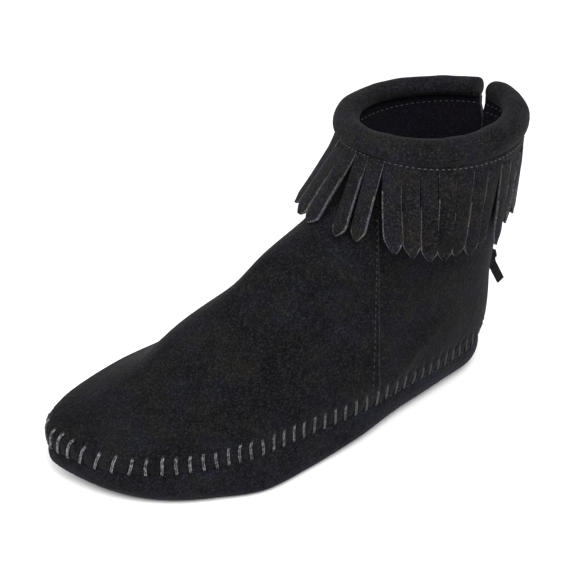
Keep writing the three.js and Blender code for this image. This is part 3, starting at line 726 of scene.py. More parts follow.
def noise(tree, coordinates, scale, detail, roughness=0.6):
    made = node(
        tree, "ShaderNodeTexNoise", Vector=coordinates, Scale=scale, Detail=detail, Roughness=roughness,
    )
    return made.outputs["Fac"]


def ramp(tree, factor, stops):
    made = node(tree, "ShaderNodeValToRGB", Fac=factor)
    while len(made.color_ramp.elements) < len(stops):
        made.color_ramp.elements.new(0.5)
    for element, (position, color) in zip(made.color_ramp.elements, stops):
        element.position = position
        element.color = (*color, 1)
    return made.outputs["Color"]


def mix_color(tree, factor, a, b, blend="MIX"):
    made = node(tree, "ShaderNodeMix", data_type="RGBA", blend_type=blend)
    for at, value in ((MIX_FACTOR, factor), (MIX_A, a), (MIX_B, b)):
        feed(tree, made.inputs[at], value)
    return made.outputs[MIX_RESULT]


def bump(tree, height, strength, distance, **under):
    made = node(tree, "ShaderNodeBump", Height=height, Strength=strength, Distance=distance, **under)
    return made.outputs["Normal"]


def scaled(color, *shares):
    """A colour made lighter or darker, by one share or by one for each of red, green and blue."""
    return tuple(value * share for value, share in zip(color, shares * (3 // len(shares))))


def base_material(name, roughness, specular):
    material = bpy.data.materials.new(name)
    material.use_nodes = True
    tree = material.node_tree
    shader = tree.nodes["Principled BSDF"]
    shader.inputs["Roughness"].default_value = roughness
    shader.inputs["Specular IOR Level"].default_value = specular
    coordinates = node(tree, "ShaderNodeTexCoord").outputs["Object"]
    return material, tree, shader, coordinates


def cover(tree, shader, color, normal):
    tree.links.new(color, shader.inputs["Base Color"])
    tree.links.new(normal, shader.inputs["Normal"])


def suede(name, dark, light, nap=1.0):
    """Brushed patches, a mottled nap in colour and bump, and a faint sheen at grazing angles."""
    material, tree, shader, coordinates = base_material(name, roughness=0.95, specular=0.06)
    shader.inputs["Sheen Weight"].default_value = SHEEN
    shader.inputs["Sheen Roughness"].default_value = SHEEN_ROUGHNESS
    shader.inputs["Sheen Tint"].default_value = (*SHEEN_TINT, 1)
    uneven = noise(tree, coordinates, scale=45, detail=3)
    hue = noise(tree, coordinates, scale=75, detail=2)
    brushed = noise(tree, coordinates, scale=350, detail=4, roughness=0.75)
    fibres = noise(tree, coordinates, scale=1000, detail=3, roughness=0.8)
    patches = ramp(tree, uneven, [(0.37, BLACK), (0.63, WHITE)])
    cool = scaled(light, *COOL_TINT)
    warm = scaled(light, *WARM_TINT)
    tinted = ramp(tree, hue, [(0.43, cool), (0.5, light), (0.57, warm)])
    large = mix_color(tree, patches, dark, tinted)
    small = ramp(tree, brushed, [(0.4, dark), (0.6, light)])
    grain = ramp(tree, fibres, [(0.4, BLACK), (0.52, dark), (0.64, scaled(light, 1.7))])
    color = mix_color(tree, 0.55, mix_color(tree, 0.5, large, small), grain)
    soft = bump(tree, brushed, strength=0.5 * nap, distance=0.001)
    cover(tree, shader, color, bump(tree, fibres, strength=0.6 * nap, distance=0.0005, Normal=soft))
    return material


def thread_material(name, dark, light):
    """Waxed thread: ply marks along it, with painted light paler towards the toe and painted shade darker
    towards the heel.
    """
    material, tree, shader, coordinates = base_material(name, roughness=0.72, specular=0.3)
    ply = noise(tree, coordinates, scale=1500, detail=2, roughness=0.7)
    uneven = noise(tree, coordinates, scale=620, detail=3)
    wear = ramp(tree, uneven, [(0.42, BLACK), (0.6, WHITE)])
    split = node(tree, "ShaderNodeSeparateXYZ", Vector=coordinates)
    lit_share = node(tree, "ShaderNodeMapRange", Value=split.outputs[0])
    lit_share.inputs["From Min"].default_value = SHADED_UP_TO
    lit_share.inputs["From Max"].default_value = LIT_FROM
    strands = ramp(tree, ply, [(0.36, dark), (0.62, light)])
    worn = mix_color(tree, wear, strands, scaled(dark, 0.4))
    # Painted shade: half as dark towards the heel, turning to the lit strands towards the toe
    color = mix_color(tree, lit_share.outputs[0], scaled(dark, 0.5), worn)
    cover(tree, shader, color, bump(tree, ply, strength=0.6, distance=0.0003))
    return material


def fine_thread_material(name, dark, light):
    material, tree, shader, coordinates = base_material(name, roughness=0.75, specular=0.3)
    ply = noise(tree, coordinates, scale=2400, detail=2, roughness=0.7)
    color = ramp(tree, ply, [(0.3, dark), (0.7, light)])
    cover(tree, shader, color, bump(tree, ply, strength=0.5, distance=0.0002))
    return material


def woven_lining(name, dark, light):
    """Close woven lining: two crossed waves under a soft mottling."""
    material, tree, shader, coordinates = base_material(name, roughness=0.9, specular=0.15)
    waves = [
        node(
            tree, "ShaderNodeTexWave", wave_type="BANDS", bands_direction=direction,
            Vector=coordinates, Scale=420, Distortion=1.5,
        )
        for direction in ("X", "DIAGONAL")
    ]
    weave = mix_color(tree, 0.5, waves[0].outputs["Color"], waves[1].outputs["Color"], "MULTIPLY")
    mottle = noise(tree, coordinates, scale=90, detail=3)
    color = mix_color(tree, mottle, mix_color(tree, weave, dark, light), dark)
    cover(tree, shader, color, bump(tree, weave, strength=0.4, distance=0.0003))
    return material


BLACK_SUEDE = suede("black_suede", (0.0018, 0.0018, 0.0023), (0.0122, 0.0122, 0.0134))
ROLL_SUEDE = suede("roll_suede", (0.0024, 0.0024, 0.0030), (0.0150, 0.0150, 0.0163))
FRINGE_SUEDE = suede("fringe_suede", (0.0026, 0.0025, 0.0031), (0.0165, 0.0161, 0.0175), 1.2)
SOLE_SUEDE = suede("sole_suede", (0.0030, 0.0030, 0.0042), (0.0130, 0.0130, 0.0172))
CUT_EDGE = suede("cut_edge", (0.0380, 0.0380, 0.0410), (0.0880, 0.0880, 0.0930), 1.3)
# Painted highlight: a paler suede for the light caught along the vamp's cut edge at the side seams
VAMP_EDGE_HIGHLIGHT = suede("painted_vamp_edge_highlight", (0.0140, 0.0140, 0.0150), (0.0400, 0.0400, 0.0430), 1.3)
LINING = suede("lining", (0.0035, 0.0030, 0.0050), (0.0085, 0.0075, 0.0115), 0.7)
INSOLE_LINING = woven_lining("insole_lining", (0.004, 0.0036, 0.0055), (0.011, 0.010, 0.014))
LACE_LEATHER = suede("lace_leather", (0.0045, 0.0045, 0.0052), (0.0110, 0.0110, 0.0120), 0.6)
WHIP_THREAD = thread_material("whip_thread", (0.052, 0.052, 0.057), (0.235, 0.235, 0.25))
FINE_THREAD = fine_thread_material("fine_thread", (0.025, 0.025, 0.028), (0.075, 0.075, 0.08))
SEAM_THREAD = fine_thread_material("seam_thread", (0.0075, 0.0075, 0.0085), (0.0225, 0.0225, 0.025))
# Painted shade: near black for the shaded insides of the stitch holes
HOLE_SHADE = fine_thread_material("painted_hole_shade", (0.001, 0.001, 0.0012), (0.003, 0.003, 0.0035))


# Upper

SHARE_STEPS = np.linspace(0, 1, 801)
STITCH_RISE = np.cumsum(1 / np.interp(SHARE_STEPS, STITCH_SHARES, STITCH_PITCHES))
STITCH_RISE = (STITCH_RISE - STITCH_RISE[0]) / (STITCH_RISE[-1] - STITCH_RISE[0])
SIDE_LENGTHS = (SEAM_TOTAL * TOE_SHARE, SEAM_TOTAL * (1 - TOE_SHARE))
SIDE_COUNTS = [round(length / np.mean(STITCH_PITCHES)) for length in SIDE_LENGTHS]


def stitch_phase(around):
    """How many bars lie between the heel and a place round the boot, on its side."""
    length = seam_length(around)
    outer = length <= SIDE_LENGTHS[0]
    share = np.where(outer, length / SIDE_LENGTHS[0], (SEAM_TOTAL - length) / SIDE_LENGTHS[1])
    count = np.where(outer, SIDE_COUNTS[0], SIDE_COUNTS[1])
    return np.interp(share, SHARE_STEPS, STITCH_RISE) * count


def stitch_lengths():
    """Lengths of seam at the bars."""
    found = []
    for side, (length, count) in enumerate(zip(SIDE_LENGTHS, SIDE_COUNTS)):
        at = length * np.interp((np.arange(count) + 0.5) / count, STITCH_RISE, SHARE_STEPS)
        found.append(SEAM_TOTAL - at[::-1] if side else at)
    return np.concatenate(found)


def pulled_share(around):
    """1 under the bars and 0 midway between them."""
    return (0.5 - 0.5 * np.cos(2 * math.pi * stitch_phase(around))) ** 2


def pull_of_stitches(around, height):
    """How far the whipstitches pull the suede in over the seam, and its rounded lower edge."""
    under_bar = smooth_share((height + 1) / 3) * (1 - smooth_share((height - 8) / 4))
    return -STITCH_PULL * pulled_share(around) * under_bar - SEAM_ROUNDING * bell(height, 1)


def crease_relief(points):
    """Height of the soft troughs and ridges at points of the upper."""
    relief = np.zeros(points.shape[:-1])
    for side, x0, z0, x1, z1, height, half in CREASES:
        line = np.array([x1 - x0, z1 - z0])
        offset = points[..., [0, 2]] - (x0, z0)
        share = np.clip(offset @ line / (line @ line), 0, 1)
        away = np.linalg.norm(offset - share[..., None] * line, axis=-1)
        fade = smooth_share(0.5 + side * points[..., 1] / 30)
        ends = np.sin(math.pi * np.clip(0.1 + 0.8 * share, 0, 1))
        relief += height * ends * fade * bell(away, half)
    return relief


VAMP_EDGE_WIDTH = 0.9
VAMP_LIP = 0.2
SEAM_TROUGH = 0.3
BACK_SEAM_DEPTH = 0.5


def side_stitch_inset(height):
    """How far into the vamp its stitches run: close to the edge above and further from it at the foot."""
    return np.interp(height, [25, 45, 90, 112], [4.2, 3.0, 1.7, 1.2])


def vamp_step(points):
    """How far the vamp lies over the quarter, which it reaches soon after its edge."""
    return VAMP_STEP * smooth_share(into_vamp(points) / VAMP_EDGE_WIDTH)


def outer_relief(points, around):
    """Vamp step with its rounded edge and stitch trough, creases, and the pull of the whipstitches."""
    x, y, z = np.moveaxis(points, -1, 0)
    ahead = into_vamp(points)
    lip = VAMP_LIP * bell(ahead - 1.0, 0.8)
    trough = -SEAM_TROUGH * bell(ahead - side_stitch_inset(z), 0.8)
    pull = pull_of_stitches(around, z - seam_at(around)[..., 2])
    back_seam = BACK_SEAM_DEPTH * bell(y - slit_y(z), 0.9) * (x < 20) * (z < SLIT_FOOT_HEIGHT + 2)
    return vamp_step(points) + lip + trough + crease_relief(points) + pull - back_seam


def wall_grid(levels, relief=None):
    """Grid of the wall's outside, or of its lining, from one slit edge round to the other.

    Also says which levels are closed at the back.
    """
    first, last, closed = slit_edges(levels)
    share = np.linspace(0, 1, UPPER_COLUMNS)[:, None]
    around = first[None] + (last - first)[None] * share
    up = np.broadcast_to(levels, around.shape)
    base = skin(around, up)
    out = -UPPER_WALL if relief is None else relief(base, around)[..., None]
    points = base + skin_out(around, up) * out
    rise = np.arange(1, RIM_ROWS + 1)[None, :, None] / RIM_ROWS
    over = points[:, -1:] + np.array([0, 0, 1]) * rise * RIM_EXTENSION
    return np.concatenate([points, over], axis=1), np.append(closed, [False] * RIM_ROWS)


def build_upper():
    foot = np.linspace(0, FOOT_SHARE, 6)[:-1]
    outer_levels = np.concatenate([foot, np.linspace(FOOT_SHARE, 1, UPPER_ROWS)])
    lining_levels = np.concatenate([foot, np.linspace(FOOT_SHARE, 1, LINING_ROWS)])
    outer, outer_closed = wall_grid(outer_levels, outer_relief)
    lining, lining_closed = wall_grid(lining_levels)
    grid = np.concatenate([outer, lining[:, ::-1]], axis=1)
    closed = np.concatenate([outer_closed, lining_closed[::-1]])
    columns, rows = grid.shape[:2]
    numbers = np.arange(columns * rows).reshape(columns, rows)
    numbers[-1, closed] = numbers[0, closed]
    slots = np.zeros((columns - 1, rows), int)
    slots[:, outer.shape[1]:] = 1
    sides = slit_side_faces(numbers, outer.shape[1], outer_levels, lining_levels, closed)
    faces = grid_faces(numbers, wrap_columns=True) + sides
    slots = slots.ravel().tolist() + [2] * len(sides)
    return new_piece("upper_suede", grid.reshape(-1, 3), faces, [BLACK_SUEDE, LINING, CUT_EDGE], slots)


def slit_side_faces(numbers, outer_rows, outer_levels, lining_levels, closed):
    """Faces across the wall's thickness at both edges of the slit, zipped up level by level."""
    faces = []
    outer_open = np.flatnonzero(~closed[:outer_rows])
    lining_open = np.flatnonzero(~closed[outer_rows:]) + outer_rows
    outer_chain = [outer_open[0] - 1, *outer_open]
    lining_chain = [*lining_open, lining_open[-1] + 1][::-1]
    rim_levels = 1 + 0.01 * np.arange(1, RIM_ROWS + 1)
    heights = np.concatenate([outer_levels, rim_levels, rim_levels[::-1], lining_levels[::-1]])
    for column in (0, -1):
        a = b = 0
        while a < len(outer_chain) - 1 or b < len(lining_chain) - 1:
            corner_a = numbers[column, outer_chain[a]]
            corner_b = numbers[column, lining_chain[b]]
            step_outer = b == len(lining_chain) - 1 or (
                a < len(outer_chain) - 1
                and heights[outer_chain[a + 1]] <= heights[lining_chain[b + 1]]
            )
            if step_outer:
                a += 1
                faces.append([corner_a, numbers[column, outer_chain[a]], corner_b])
            else:
                b += 1
                faces.append([corner_a, numbers[column, lining_chain[b]], corner_b])
    return [[int(corner) for corner in face] for face in faces]


# Sole and insole

TREAD_WORN = 0.25

# How far the insole's edge is drawn in from its lowest ring to its highest
INSOLE_EDGE = np.array([0.6, 0.1, 0, 0, 0, 0.1, 0.5, 1.4])


def sole_relief(around, up):
    seam = seam_at(around)
    below = (1 - up) * (seam[..., 2] - floor_height(seam[..., 0]))
    return -SOLE_PULL * pulled_share(around) * bell(below, 2.5) - SEAM_ROUNDING * bell(below, 1)


def build_sole():
    columns = np.arange(SOLE_COLUMNS) / SOLE_COLUMNS
    side = np.concatenate([np.linspace(0, 0.9, 30), np.linspace(0.92, 1, 6)])
    around, up = np.meshgrid(columns, side)
    outside = sole_point(around, up, out=sole_relief(around, up))
    around, up = np.meshgrid(columns, np.linspace(1, 0, 9))
    inside = sole_point(around, up, wall=SOLE_WALL)

    def tread(points, share):
        floor = floor_height(points[..., 0])
        return floor + TREAD_WORN * np.sin(math.pi * share) ** 0.5 * (floor > 0.02)

    def inner_floor(points, _):
        return floor_height(points[..., 0]) + SOLE_WALL

    points, faces = stacked_rings(np.concatenate([outside, inside]), tread, inner_floor)
    return new_piece("sole_suede", points, faces, [SOLE_SUEDE])


def build_insole():
    clear = SOLE_WALL + GAP
    top = INSOLE_THICKNESS / (SEAM_HEIGHT - GAP - clear)
    columns = np.arange(INSOLE_COLUMNS) / INSOLE_COLUMNS
    around, up = np.meshgrid(columns, np.linspace(0, top, len(INSOLE_EDGE)))
    rings = sole_point(around, up, wall=clear, out=-INSOLE_EDGE[:, None])

    def underside(points, _):
        return floor_height(points[..., 0]) + clear

    def footbed(points, share):
        worn = 0.9 * bell(points[..., 0] - 38, 34) + 0.7 * bell(points[..., 0] - 170, 40)
        dish = worn * np.sin(math.pi * share) ** 2
        return floor_height(points[..., 0]) + clear + INSOLE_THICKNESS - dish

    points, faces = stacked_rings(rings, underside, footbed)
    return new_piece("insole_pad", points, faces, [INSOLE_LINING])


# Roll collar

def angle_beside_slit(side):
    y = slit_y(COLLAR_BACK_HEIGHT) + side * SLIT_MOUTH_WIDTH / 2 - COLLAR_CENTRE[1]
    return math.asin(y / COLLAR_HALVES[1])


# Waves of the roll: how many, how high and where each starts
ROLL_WAVES = [(2, 0.12, 0.4), (5, 0.2, 1.3), (9, 0.14, 2.1), (14, 0.1, 0.2), (23, 0.06, 1.1)]

# Shares of the way round the roll close to its ends, and how thick the rounded outer and the squarer inner
# end are there
ROLL_END_SHARES = np.array([0, 0.0012, 0.0035, 0.008, 0.014])
ROLL_OUTER_END = ([0, 0.0012, 0.0035, 0.008, 0.03], [0.62, 0.74, 0.83, 0.9, 1])
ROLL_INNER_END = ([0, 0.0012, 0.0035, 0.008], [0.86, 0.95, 0.985, 1])


def build_roll():
    first = angle_beside_slit(1) + ROLL_END_SHORT
    last = 2 * math.pi + angle_beside_slit(-1)
    between = np.linspace(0.02, 0.98, ROLL_SECTIONS)
    share = np.concatenate([ROLL_END_SHARES, between, 1 - ROLL_END_SHARES[::-1]])
    angle = first + (last - first) * share
    tapered = np.interp(share, *ROLL_OUTER_END)
    square = np.interp(1 - share, *ROLL_INNER_END)
    _, outward = ring_directions(angle)
    centre = roll_centre(angle) - outward * UPPER_WALL / 2 + collar_shift(angle)
    turn = 2 * math.pi * np.arange(ROLL_FINE_SIDES) / ROLL_FINE_SIDES
    out, up = roll_section(turn)
    flatten = ROLL_FLATTEN + (ROLL_FRONT_FLATTEN - ROLL_FLATTEN) * front_share(angle)
    flatten = np.maximum(flatten, ROLL_INNER_FLATTEN * smooth_share(-2 * np.sin(angle)))
    up = np.where(np.sin(turn)[None] < 0, up[None] * (1 - flatten[:, None]), up[None])
    waves = sum(height * np.sin(count * angle + start) for count, height, start in ROLL_WAVES)
    swell = 1 + waves[:, None] / ROLL_HALF_THICKNESS * (0.4 + 0.6 * np.sin(turn))
    thinner = 1 - ROLL_FRONT_THIN * front_share(angle)
    scale = ((tapered * square * thinner)[:, None] * swell)[..., None]
    level = outward[:, None] * out[None, :, None]
    points = centre[:, None] + scale * (level + up[..., None] * np.array([0, 0, 1]))
    return new_piece("collar_roll", points.reshape(-1, 3), tube_faces(*points.shape[:2]), [ROLL_SUEDE])


# Fringe

def fringe_paths(angles, extra_slopes, length):
    """Points down the strips, their lengths and sideways directions.

    A strip hangs at its slope, or lies on the skin where that stands further out.
    """
    start = roll_centre(angles) + collar_shift(angles)
    start[:, 2] += FRINGE_FRONT_RISE * front_share(angles) - RIM_DROP - FRINGE_TOP_DROP
    sideways, outward = ring_directions(angles)
    facing = ((1 - np.cos(angles)) / 2) ** 3
    slope = FRINGE_SLOPE_BACK + (FRINGE_SLOPE_FRONT - FRINGE_SLOPE_BACK) * facing + extra_slopes
    drops = np.arange(0, length + 2 * FRINGE_STEP, FRINGE_STEP)
    heights = start[:, 2:] - drops
    guess = np.repeat(around_at(angles)[:, None], len(drops), axis=1)

    def is_before(around):
        found = skin(around, height_share(around, heights)) - start[:, None]
        return np.sum(found * sideways[:, None], axis=-1) < 0

    around = first_not_below(guess - 0.1, guess + 0.1, is_before)
    reached = skin(around, height_share(around, heights)) - start[:, None]
    reach = np.sum(reached * outward[:, None], axis=-1)
    reach[:, 0] = 0
    reach = np.maximum(reach, slope[:, None] * drops)
    points = start[:, None] + outward[:, None] * reach[..., None] - np.array([0, 0, 1]) * drops[:, None]
    return list(zip(points, lengths_along(points), sideways))


def along_fringe(path, at):
    """Points clear of the skin and outward directions at lengths down a strip. Below 0 is above its start."""
    points, lengths, sideways = path
    down = unit(np.gradient(points, axis=0))
    for _ in range(2):
        down[1:-1] = unit(down[:-2] + 2 * down[1:-1] + down[2:])
    outward = unit(np.cross(sideways, down))
    found = along_line(at, lengths, points)
    found[:, 2] += np.maximum(-at, 0)
    facing = unit(along_line(at, lengths, outward))
    return found + facing * (GAP + VAMP_STEP + FRINGE_CLEARANCE), facing


def ring_line():
    """Angles along the collar ring from one edge of the slit to the other, and the lengths to them."""
    angles = np.linspace(angle_beside_slit(1), 2 * math.pi + angle_beside_slit(-1), 801)
    return angles, lengths_along(roll_centre(angles))


def ring_places(count):
    """Angles evenly spaced along the collar ring, with both edges of the slit."""
    angles, lengths = ring_line()
    return np.interp(np.linspace(0, 1, count) * lengths[-1], lengths, angles)


def strip_places():
    """Angles of the strips' middles, as many as the ring has room for."""
    angles, lengths = ring_line()
    count = int(lengths[-1] // STRIP_PITCH)
    return np.interp((np.arange(count) + 0.5) / count * lengths[-1], lengths, angles)


# Depths below the roll: the band's top, where the cuts start in front and at the back, and the stitches
BAND_TOP = -4.0
BAND_NARROW = -1.2
BAND_WIDE = 5.5
BAND_OVER_CUTS = 0.6
BAND_ROWS = 6
COLLAR_STITCH_AT = -1.5

# The lower row of stitches inside ends at this angle from the slit
SECOND_ROW_TO = 1.0


def band_depth(angle):
    """How far down the cuts start: close under the roll in front, lower at the back."""
    return BAND_NARROW + (BAND_WIDE - BAND_NARROW) * ((1 + np.cos(angle)) / 2) ** 0.8


def build_band():
    angles = ring_places(200)
    rows = np.linspace(0, 1, BAND_ROWS)
    grid = []
    for angle, path in zip(angles, fringe_paths(angles, 0, length=14)):
        depth = band_depth(angle) + BAND_OVER_CUTS - BAND_TOP
        near, facing = along_fringe(path, BAND_TOP + depth * rows)
        grid.append(np.vstack([near, (near + facing * BAND_THICKNESS)[::-1]]))
    faces = tube_faces(len(angles), 2 * BAND_ROWS)
    return new_piece("fringe_band", np.vstack(grid), faces, [FRINGE_SUEDE])


# Strips in turn round the fringe: share of the fringe's length, width, extra slope, lean of the tip along
# the ring, twist, share of the tip
STRIPS = [
    (0.99, 7.8, 0.02, 0.6, 0.05, 0.14),
    (1.0, 8.2, 0.05, -0.8, -0.08, 0.12),
    (0.96, 7.6, 0.01, 0.3, 0.12, 0.15),
    (0.99, 8.4, 0.04, 0.9, -0.04, 0.12),
    (0.95, 7.9, 0.02, -0.4, 0.1, 0.14),
]

# The same for the strips that show on the outer side, charted one by one from the back to the front
FIRST_CHARTED = 5
CHARTED_STRIPS = [
    (0.95, 6.8, -0.14, 2.0, 0.1, 0.14),
    (1.0, 6.8, -0.12, 1.0, -0.05, 0.15),
    (1.07, 7.0, -0.01, -1.0, 0.05, 0.15),
    (1.0, 7.5, -0.03, 5.2, 0.0, 0.12),
    (0.99, 8.0, 0.0, 4.8, -0.04, 0.12),
    (0.95, 8.1, 0.02, 4.4, 0.05, 0.12),
    (0.96, 8.3, 0.02, 1.8, -0.05, 0.13),
    (0.95, 8.5, 0.03, -1.2, 0.05, 0.13),
    (0.91, 8.6, 0.04, -4.2, 0.04, 0.14),
    (0.89, 9.8, 0.03, -8.0, 0.08, 0.17),
    (0.86, 8.4, 0.03, -1.0, -0.1, 0.13),
    (0.91, 7.6, 0.0, -4.0, 0.1, 0.12),
    (0.93, 9.4, 0.1, 0.5, 0.0, 0.1),
    (0.9, 9.8, 0.12, 0.0, 0.05, 0.1),
    (0.88, 8.4, 0.12, 0.0, 0.0, 0.12),
]


def strip_form(index):
    charted = index - FIRST_CHARTED
    if 0 <= charted < len(CHARTED_STRIPS):
        return CHARTED_STRIPS[charted]
    return STRIPS[index % len(STRIPS)]


STRIP_ROWS = 34
STRIP_UNDER_BAND = 1.2
STRIP_CUP = 0.45
STRIP_RIPPLE = 0.18
STRIP_STAGGER = 0.35
STRIP_THINNING = 0.25
STRIP_ACROSS = np.array([-0.5, -0.43, -0.3, -0.15, 0, 0.15, 0.3, 0.43, 0.5])

# The pale rims of strips: the row where they start, the row from where they go round the tip, and the last
# strip that shows its rim on the side towards the front
RIM_FROM_ROW = 7
TIP_FROM_ROW = 27
LAST_RIM_IN_FRONT = 14


def strip_outline(down, tip):
    """Share of the width at shares of the way down: nearly even, a little fuller low, then a pointed tip."""
    body = 1 - 0.03 * np.sin(math.pi * down) + 0.05 * down
    end = np.clip((down - (1 - tip)) / tip, 0, 1)
    return body * (1 - 0.84 * end ** 1.5)


def strip_grid(path, angle, index):
    """Points of a strip, its back and then its front, row by row."""
    length_share, width, _, lean, twist, tip = strip_form(index)
    length = FRINGE_LENGTH * length_share
    down = 1 - (1 - np.linspace(0, 1, STRIP_ROWS)) ** 1.25
    start = band_depth(angle) - STRIP_UNDER_BAND
    near, facing = along_fringe(path, start + (length - start) * down)
    bent = down[:, None] ** 1.5
    turned = twist * bent * STRIP_ACROSS
    cupped = STRIP_CUP * (1 - (2 * STRIP_ACROSS) ** 2) * smooth_share(down * 3)[:, None]
    ripple = STRIP_RIPPLE * np.sin(6 * down + 1.7 * index) + STRIP_STAGGER * (index % 2)
    at_side = (strip_outline(down, tip)[:, None] * STRIP_ACROSS * width + lean * bent)[..., None] * path[2]
    lift = (turned * width + cupped + ripple[:, None])[..., None]
    back = near[:, None] + at_side + (lift + 0.2) * facing[:, None]
    front = back + STRIP_THICKNESS * (1 - STRIP_THINNING * down)[:, None, None] * facing[:, None]
    return np.concatenate([back, front[:, ::-1]], axis=1)


def strip_slots(index):
    """Pale cut edges of a strip: its thickness all round, and a pale rim on the side that stands out."""
    flat = len(STRIP_ACROSS) - 1
    first_row = RIM_FROM_ROW + 3 * index % 8
    rows = []
    for row in range(STRIP_ROWS - 1):
        face = [0] * flat
        at_tip = row >= TIP_FROM_ROW
        if row >= first_row and (index <= LAST_RIM_IN_FRONT or at_tip):
            face[0] = 1
        if row >= first_row and (index > LAST_RIM_IN_FRONT or at_tip):
            face[-1] = 1
        rows += [0] * flat + [1] + face + [1]
    return rows


def build_strips():
    points = []
    faces = []
    slots = []
    angles = strip_places()
    slopes = np.array([strip_form(index)[2] for index in range(len(angles))])
    for index, path in enumerate(fringe_paths(angles, slopes, FRINGE_LENGTH * 1.1)):
        grid = strip_grid(path, angles[index], index).reshape(-1, 3)
        faces += tube_faces(STRIP_ROWS, len(grid) // STRIP_ROWS, index * len(grid))
        slots += strip_slots(index) + [0, 1]
        points.append(grid)
    return new_piece("fringe_strips", np.vstack(points), faces, [FRINGE_SUEDE, CUT_EDGE], slots)


# Stitching

def place_of_length_y(length):
    """How far to the side the seam is at lengths near the heel, and far off elsewhere."""
    point = seam_at(around_of_length(length))
    return np.where(point[:, 0] < 20, point[:, 1], FOOT_LENGTH)


# Stations down a bar: share of its half length from its middle, how far it stands off the suede, and how
# much of the way it follows the suede pulled in under it
BAR_RUN = np.array([1.0, 0.95, 0.8, 0.5, 0, -0.45, -0.75, -0.92, -1.0])
BAR_STAND = np.array([-1.4, -0.3, 0.15, 0.2, 0.25, 0.3, 0.3, 0.0, -1.0])[:, None]
BAR_LYING = np.array([1, 1, 0.85, 0.6, 0.45, 0.45, 0.45, 0.45, 0.45])[:, None]
PLY_OFFSET = 0.37

# How unevenly the bars are sewn: spread of their heights and leans, and how far they bow
HEIGHT_SPREAD = 0.35
LEAN_SPREAD = 0.3
BAR_BOW = 0.35

# Stations along a stitch hole and how narrow it is there
HOLE_RUN = np.array([-1.3, -0.8, -0.1, 0.6, 1.0])[:, None]
HOLE_TAPER = [0.3, 0.85, 1, 0.8, 0.3]

# Width and thickness of the threads, of the painted shade in the holes and of the painted highlights along
# the vamp's edges
PLY_SIZE = (0.66, 0.75)
HOLE_SIZE = (1.9, 0.4)
DASH_THREAD_SIZE = (0.55, 0.45)
SIDE_THREAD_SIZE = (0.6, 0.5)
VAMP_EDGE_SIZE = (0.45, 0.5)
FINE_THREAD_SIZE = (0.5, 0.45)


def build_whipstitches():
    """Bars over the upper's lower edge, each of two plies from a hole in the suede down to the seam."""
    length = stitch_lengths()
    length = length[np.abs(place_of_length_y(length)) > TAB_WIDTH / 2 + 3]
    count = len(length)
    x = seam_at(around_of_length(length))[:, 0]
    tall = (np.interp(x, STITCH_X, STITCH_HEIGHTS) + rng.normal(0, HEIGHT_SPREAD, count))[:, None]
    lean = (np.interp(x, STITCH_X, STITCH_LEANS) + rng.normal(0, LEAN_SPREAD, count))[:, None]
    heelward = np.where(length < SIDE_LENGTHS[0], -1, 1)[:, None]
    bow = BAR_BOW * (1 - BAR_RUN ** 2) * rng.normal(0, 1, (count, 1))
    places = around_of_length(length[:, None] + heelward * lean * BAR_RUN / 2 + bow)
    height = (tall + STITCH_FOOT) * (BAR_RUN + 1) / 2 - STITCH_FOOT
    up = height_share(places, seam_at(places)[..., 2] + np.maximum(height, 0.1))
    base = skin(places, up)
    normals = skin_out(places, up)
    base[..., 2] += np.minimum(height, 0)
    vamp = vamp_step(base)[..., None]
    pull = pull_of_stitches(places, height)[..., None]
    paths = base + normals * (BAR_STAND + vamp + pull * BAR_LYING)
    wide = unit(np.cross(unit(np.gradient(paths, axis=1)), normals))
    plies = np.concatenate([paths + wide * PLY_OFFSET, paths - wide * PLY_OFFSET])
    doubled = np.concatenate([normals, normals])
    bars = thread_piece("whipstitches", plies, doubled, *PLY_SIZE, WHIP_THREAD)
    mouths = base[:, 1] + normals[:, 1] * (vamp[:, 1] + pull[:, 1] - HOLE_SINK)
    holes = build_holes(mouths, normals[:, 1], unit(base[:, 3] - base[:, 1]))
    return bars, holes, build_seam_dashes(base[:, -2], normals[:, -2])


def build_holes(points, normals, along):
    """Painted shade in the drawn-in holes where the bars go through the suede: dark ribbons sunk a little
    into it.
    """
    paths = points[:, None] - along[:, None] * HOLE_RUN
    wide = np.repeat(unit(np.cross(along, normals))[:, None], len(HOLE_RUN), axis=1)
    thick = np.repeat(normals[:, None], len(HOLE_RUN), axis=1)
    rings = ribbon_rings(paths, wide, thick, *HOLE_SIZE, taper=HOLE_TAPER)
    return ribbon_piece("stitch_holes", rings, HOLE_SHADE)


def build_seam_dashes(feet, normals):
    """Faint thread from the foot of each bar towards the next, half sunk in the seam."""
    share = np.linspace(0.2, 0.72, 6)[:, None]
    sink = np.array([-0.9, -0.35, -0.25, -0.25, -0.35, -0.9])[:, None]
    paths = feet[:-1, None] + (feet[1:] - feet[:-1])[:, None] * share
    outward = unit(normals[:-1, None] * (1 - share) + normals[1:, None] * share)
    return thread_piece("seam_dashes", paths + outward * sink, outward, *DASH_THREAD_SIZE, SEAM_THREAD)


def dashes(points, normals, pitch, dash, sink=0.35):
    """Cuts a line of points on a surface into stitches of a pitch and a length."""
    lengths = lengths_along(points)
    count = int(lengths[-1] // pitch)
    start = (np.arange(count) + 0.5) * lengths[-1] / count
    at = start[:, None] + np.linspace(-0.5, 0.5, 5) * dash
    outward = unit(along_line(at, lengths, normals))
    stand = np.array([-sink, 0.12, 0.22, 0.12, -sink])[:, None]
    return along_line(at, lengths, points) + outward * stand, outward


def joined(rows):
    """Paths of all rows of stitches, and their outward directions."""
    return [np.concatenate(part) for part in zip(*rows)]


SIDE_SEAM_HEIGHTS = np.linspace(SEAM_HEIGHT + 5, 112, 90)


def side_seam_line(side, inset):
    """Line up a side seam at a distance into the vamp."""
    height = SIDE_SEAM_HEIGHTS

    def places(part):
        around = part if side > 0 else 1 - part
        return around, height_share(around, height)

    part = first_not_below(
        0 * height + 0.04, 0 * height + 0.46, lambda part: into_vamp(skin(*places(part))) < inset,
    )
    return skin(*places(part)), skin_out(*places(part))


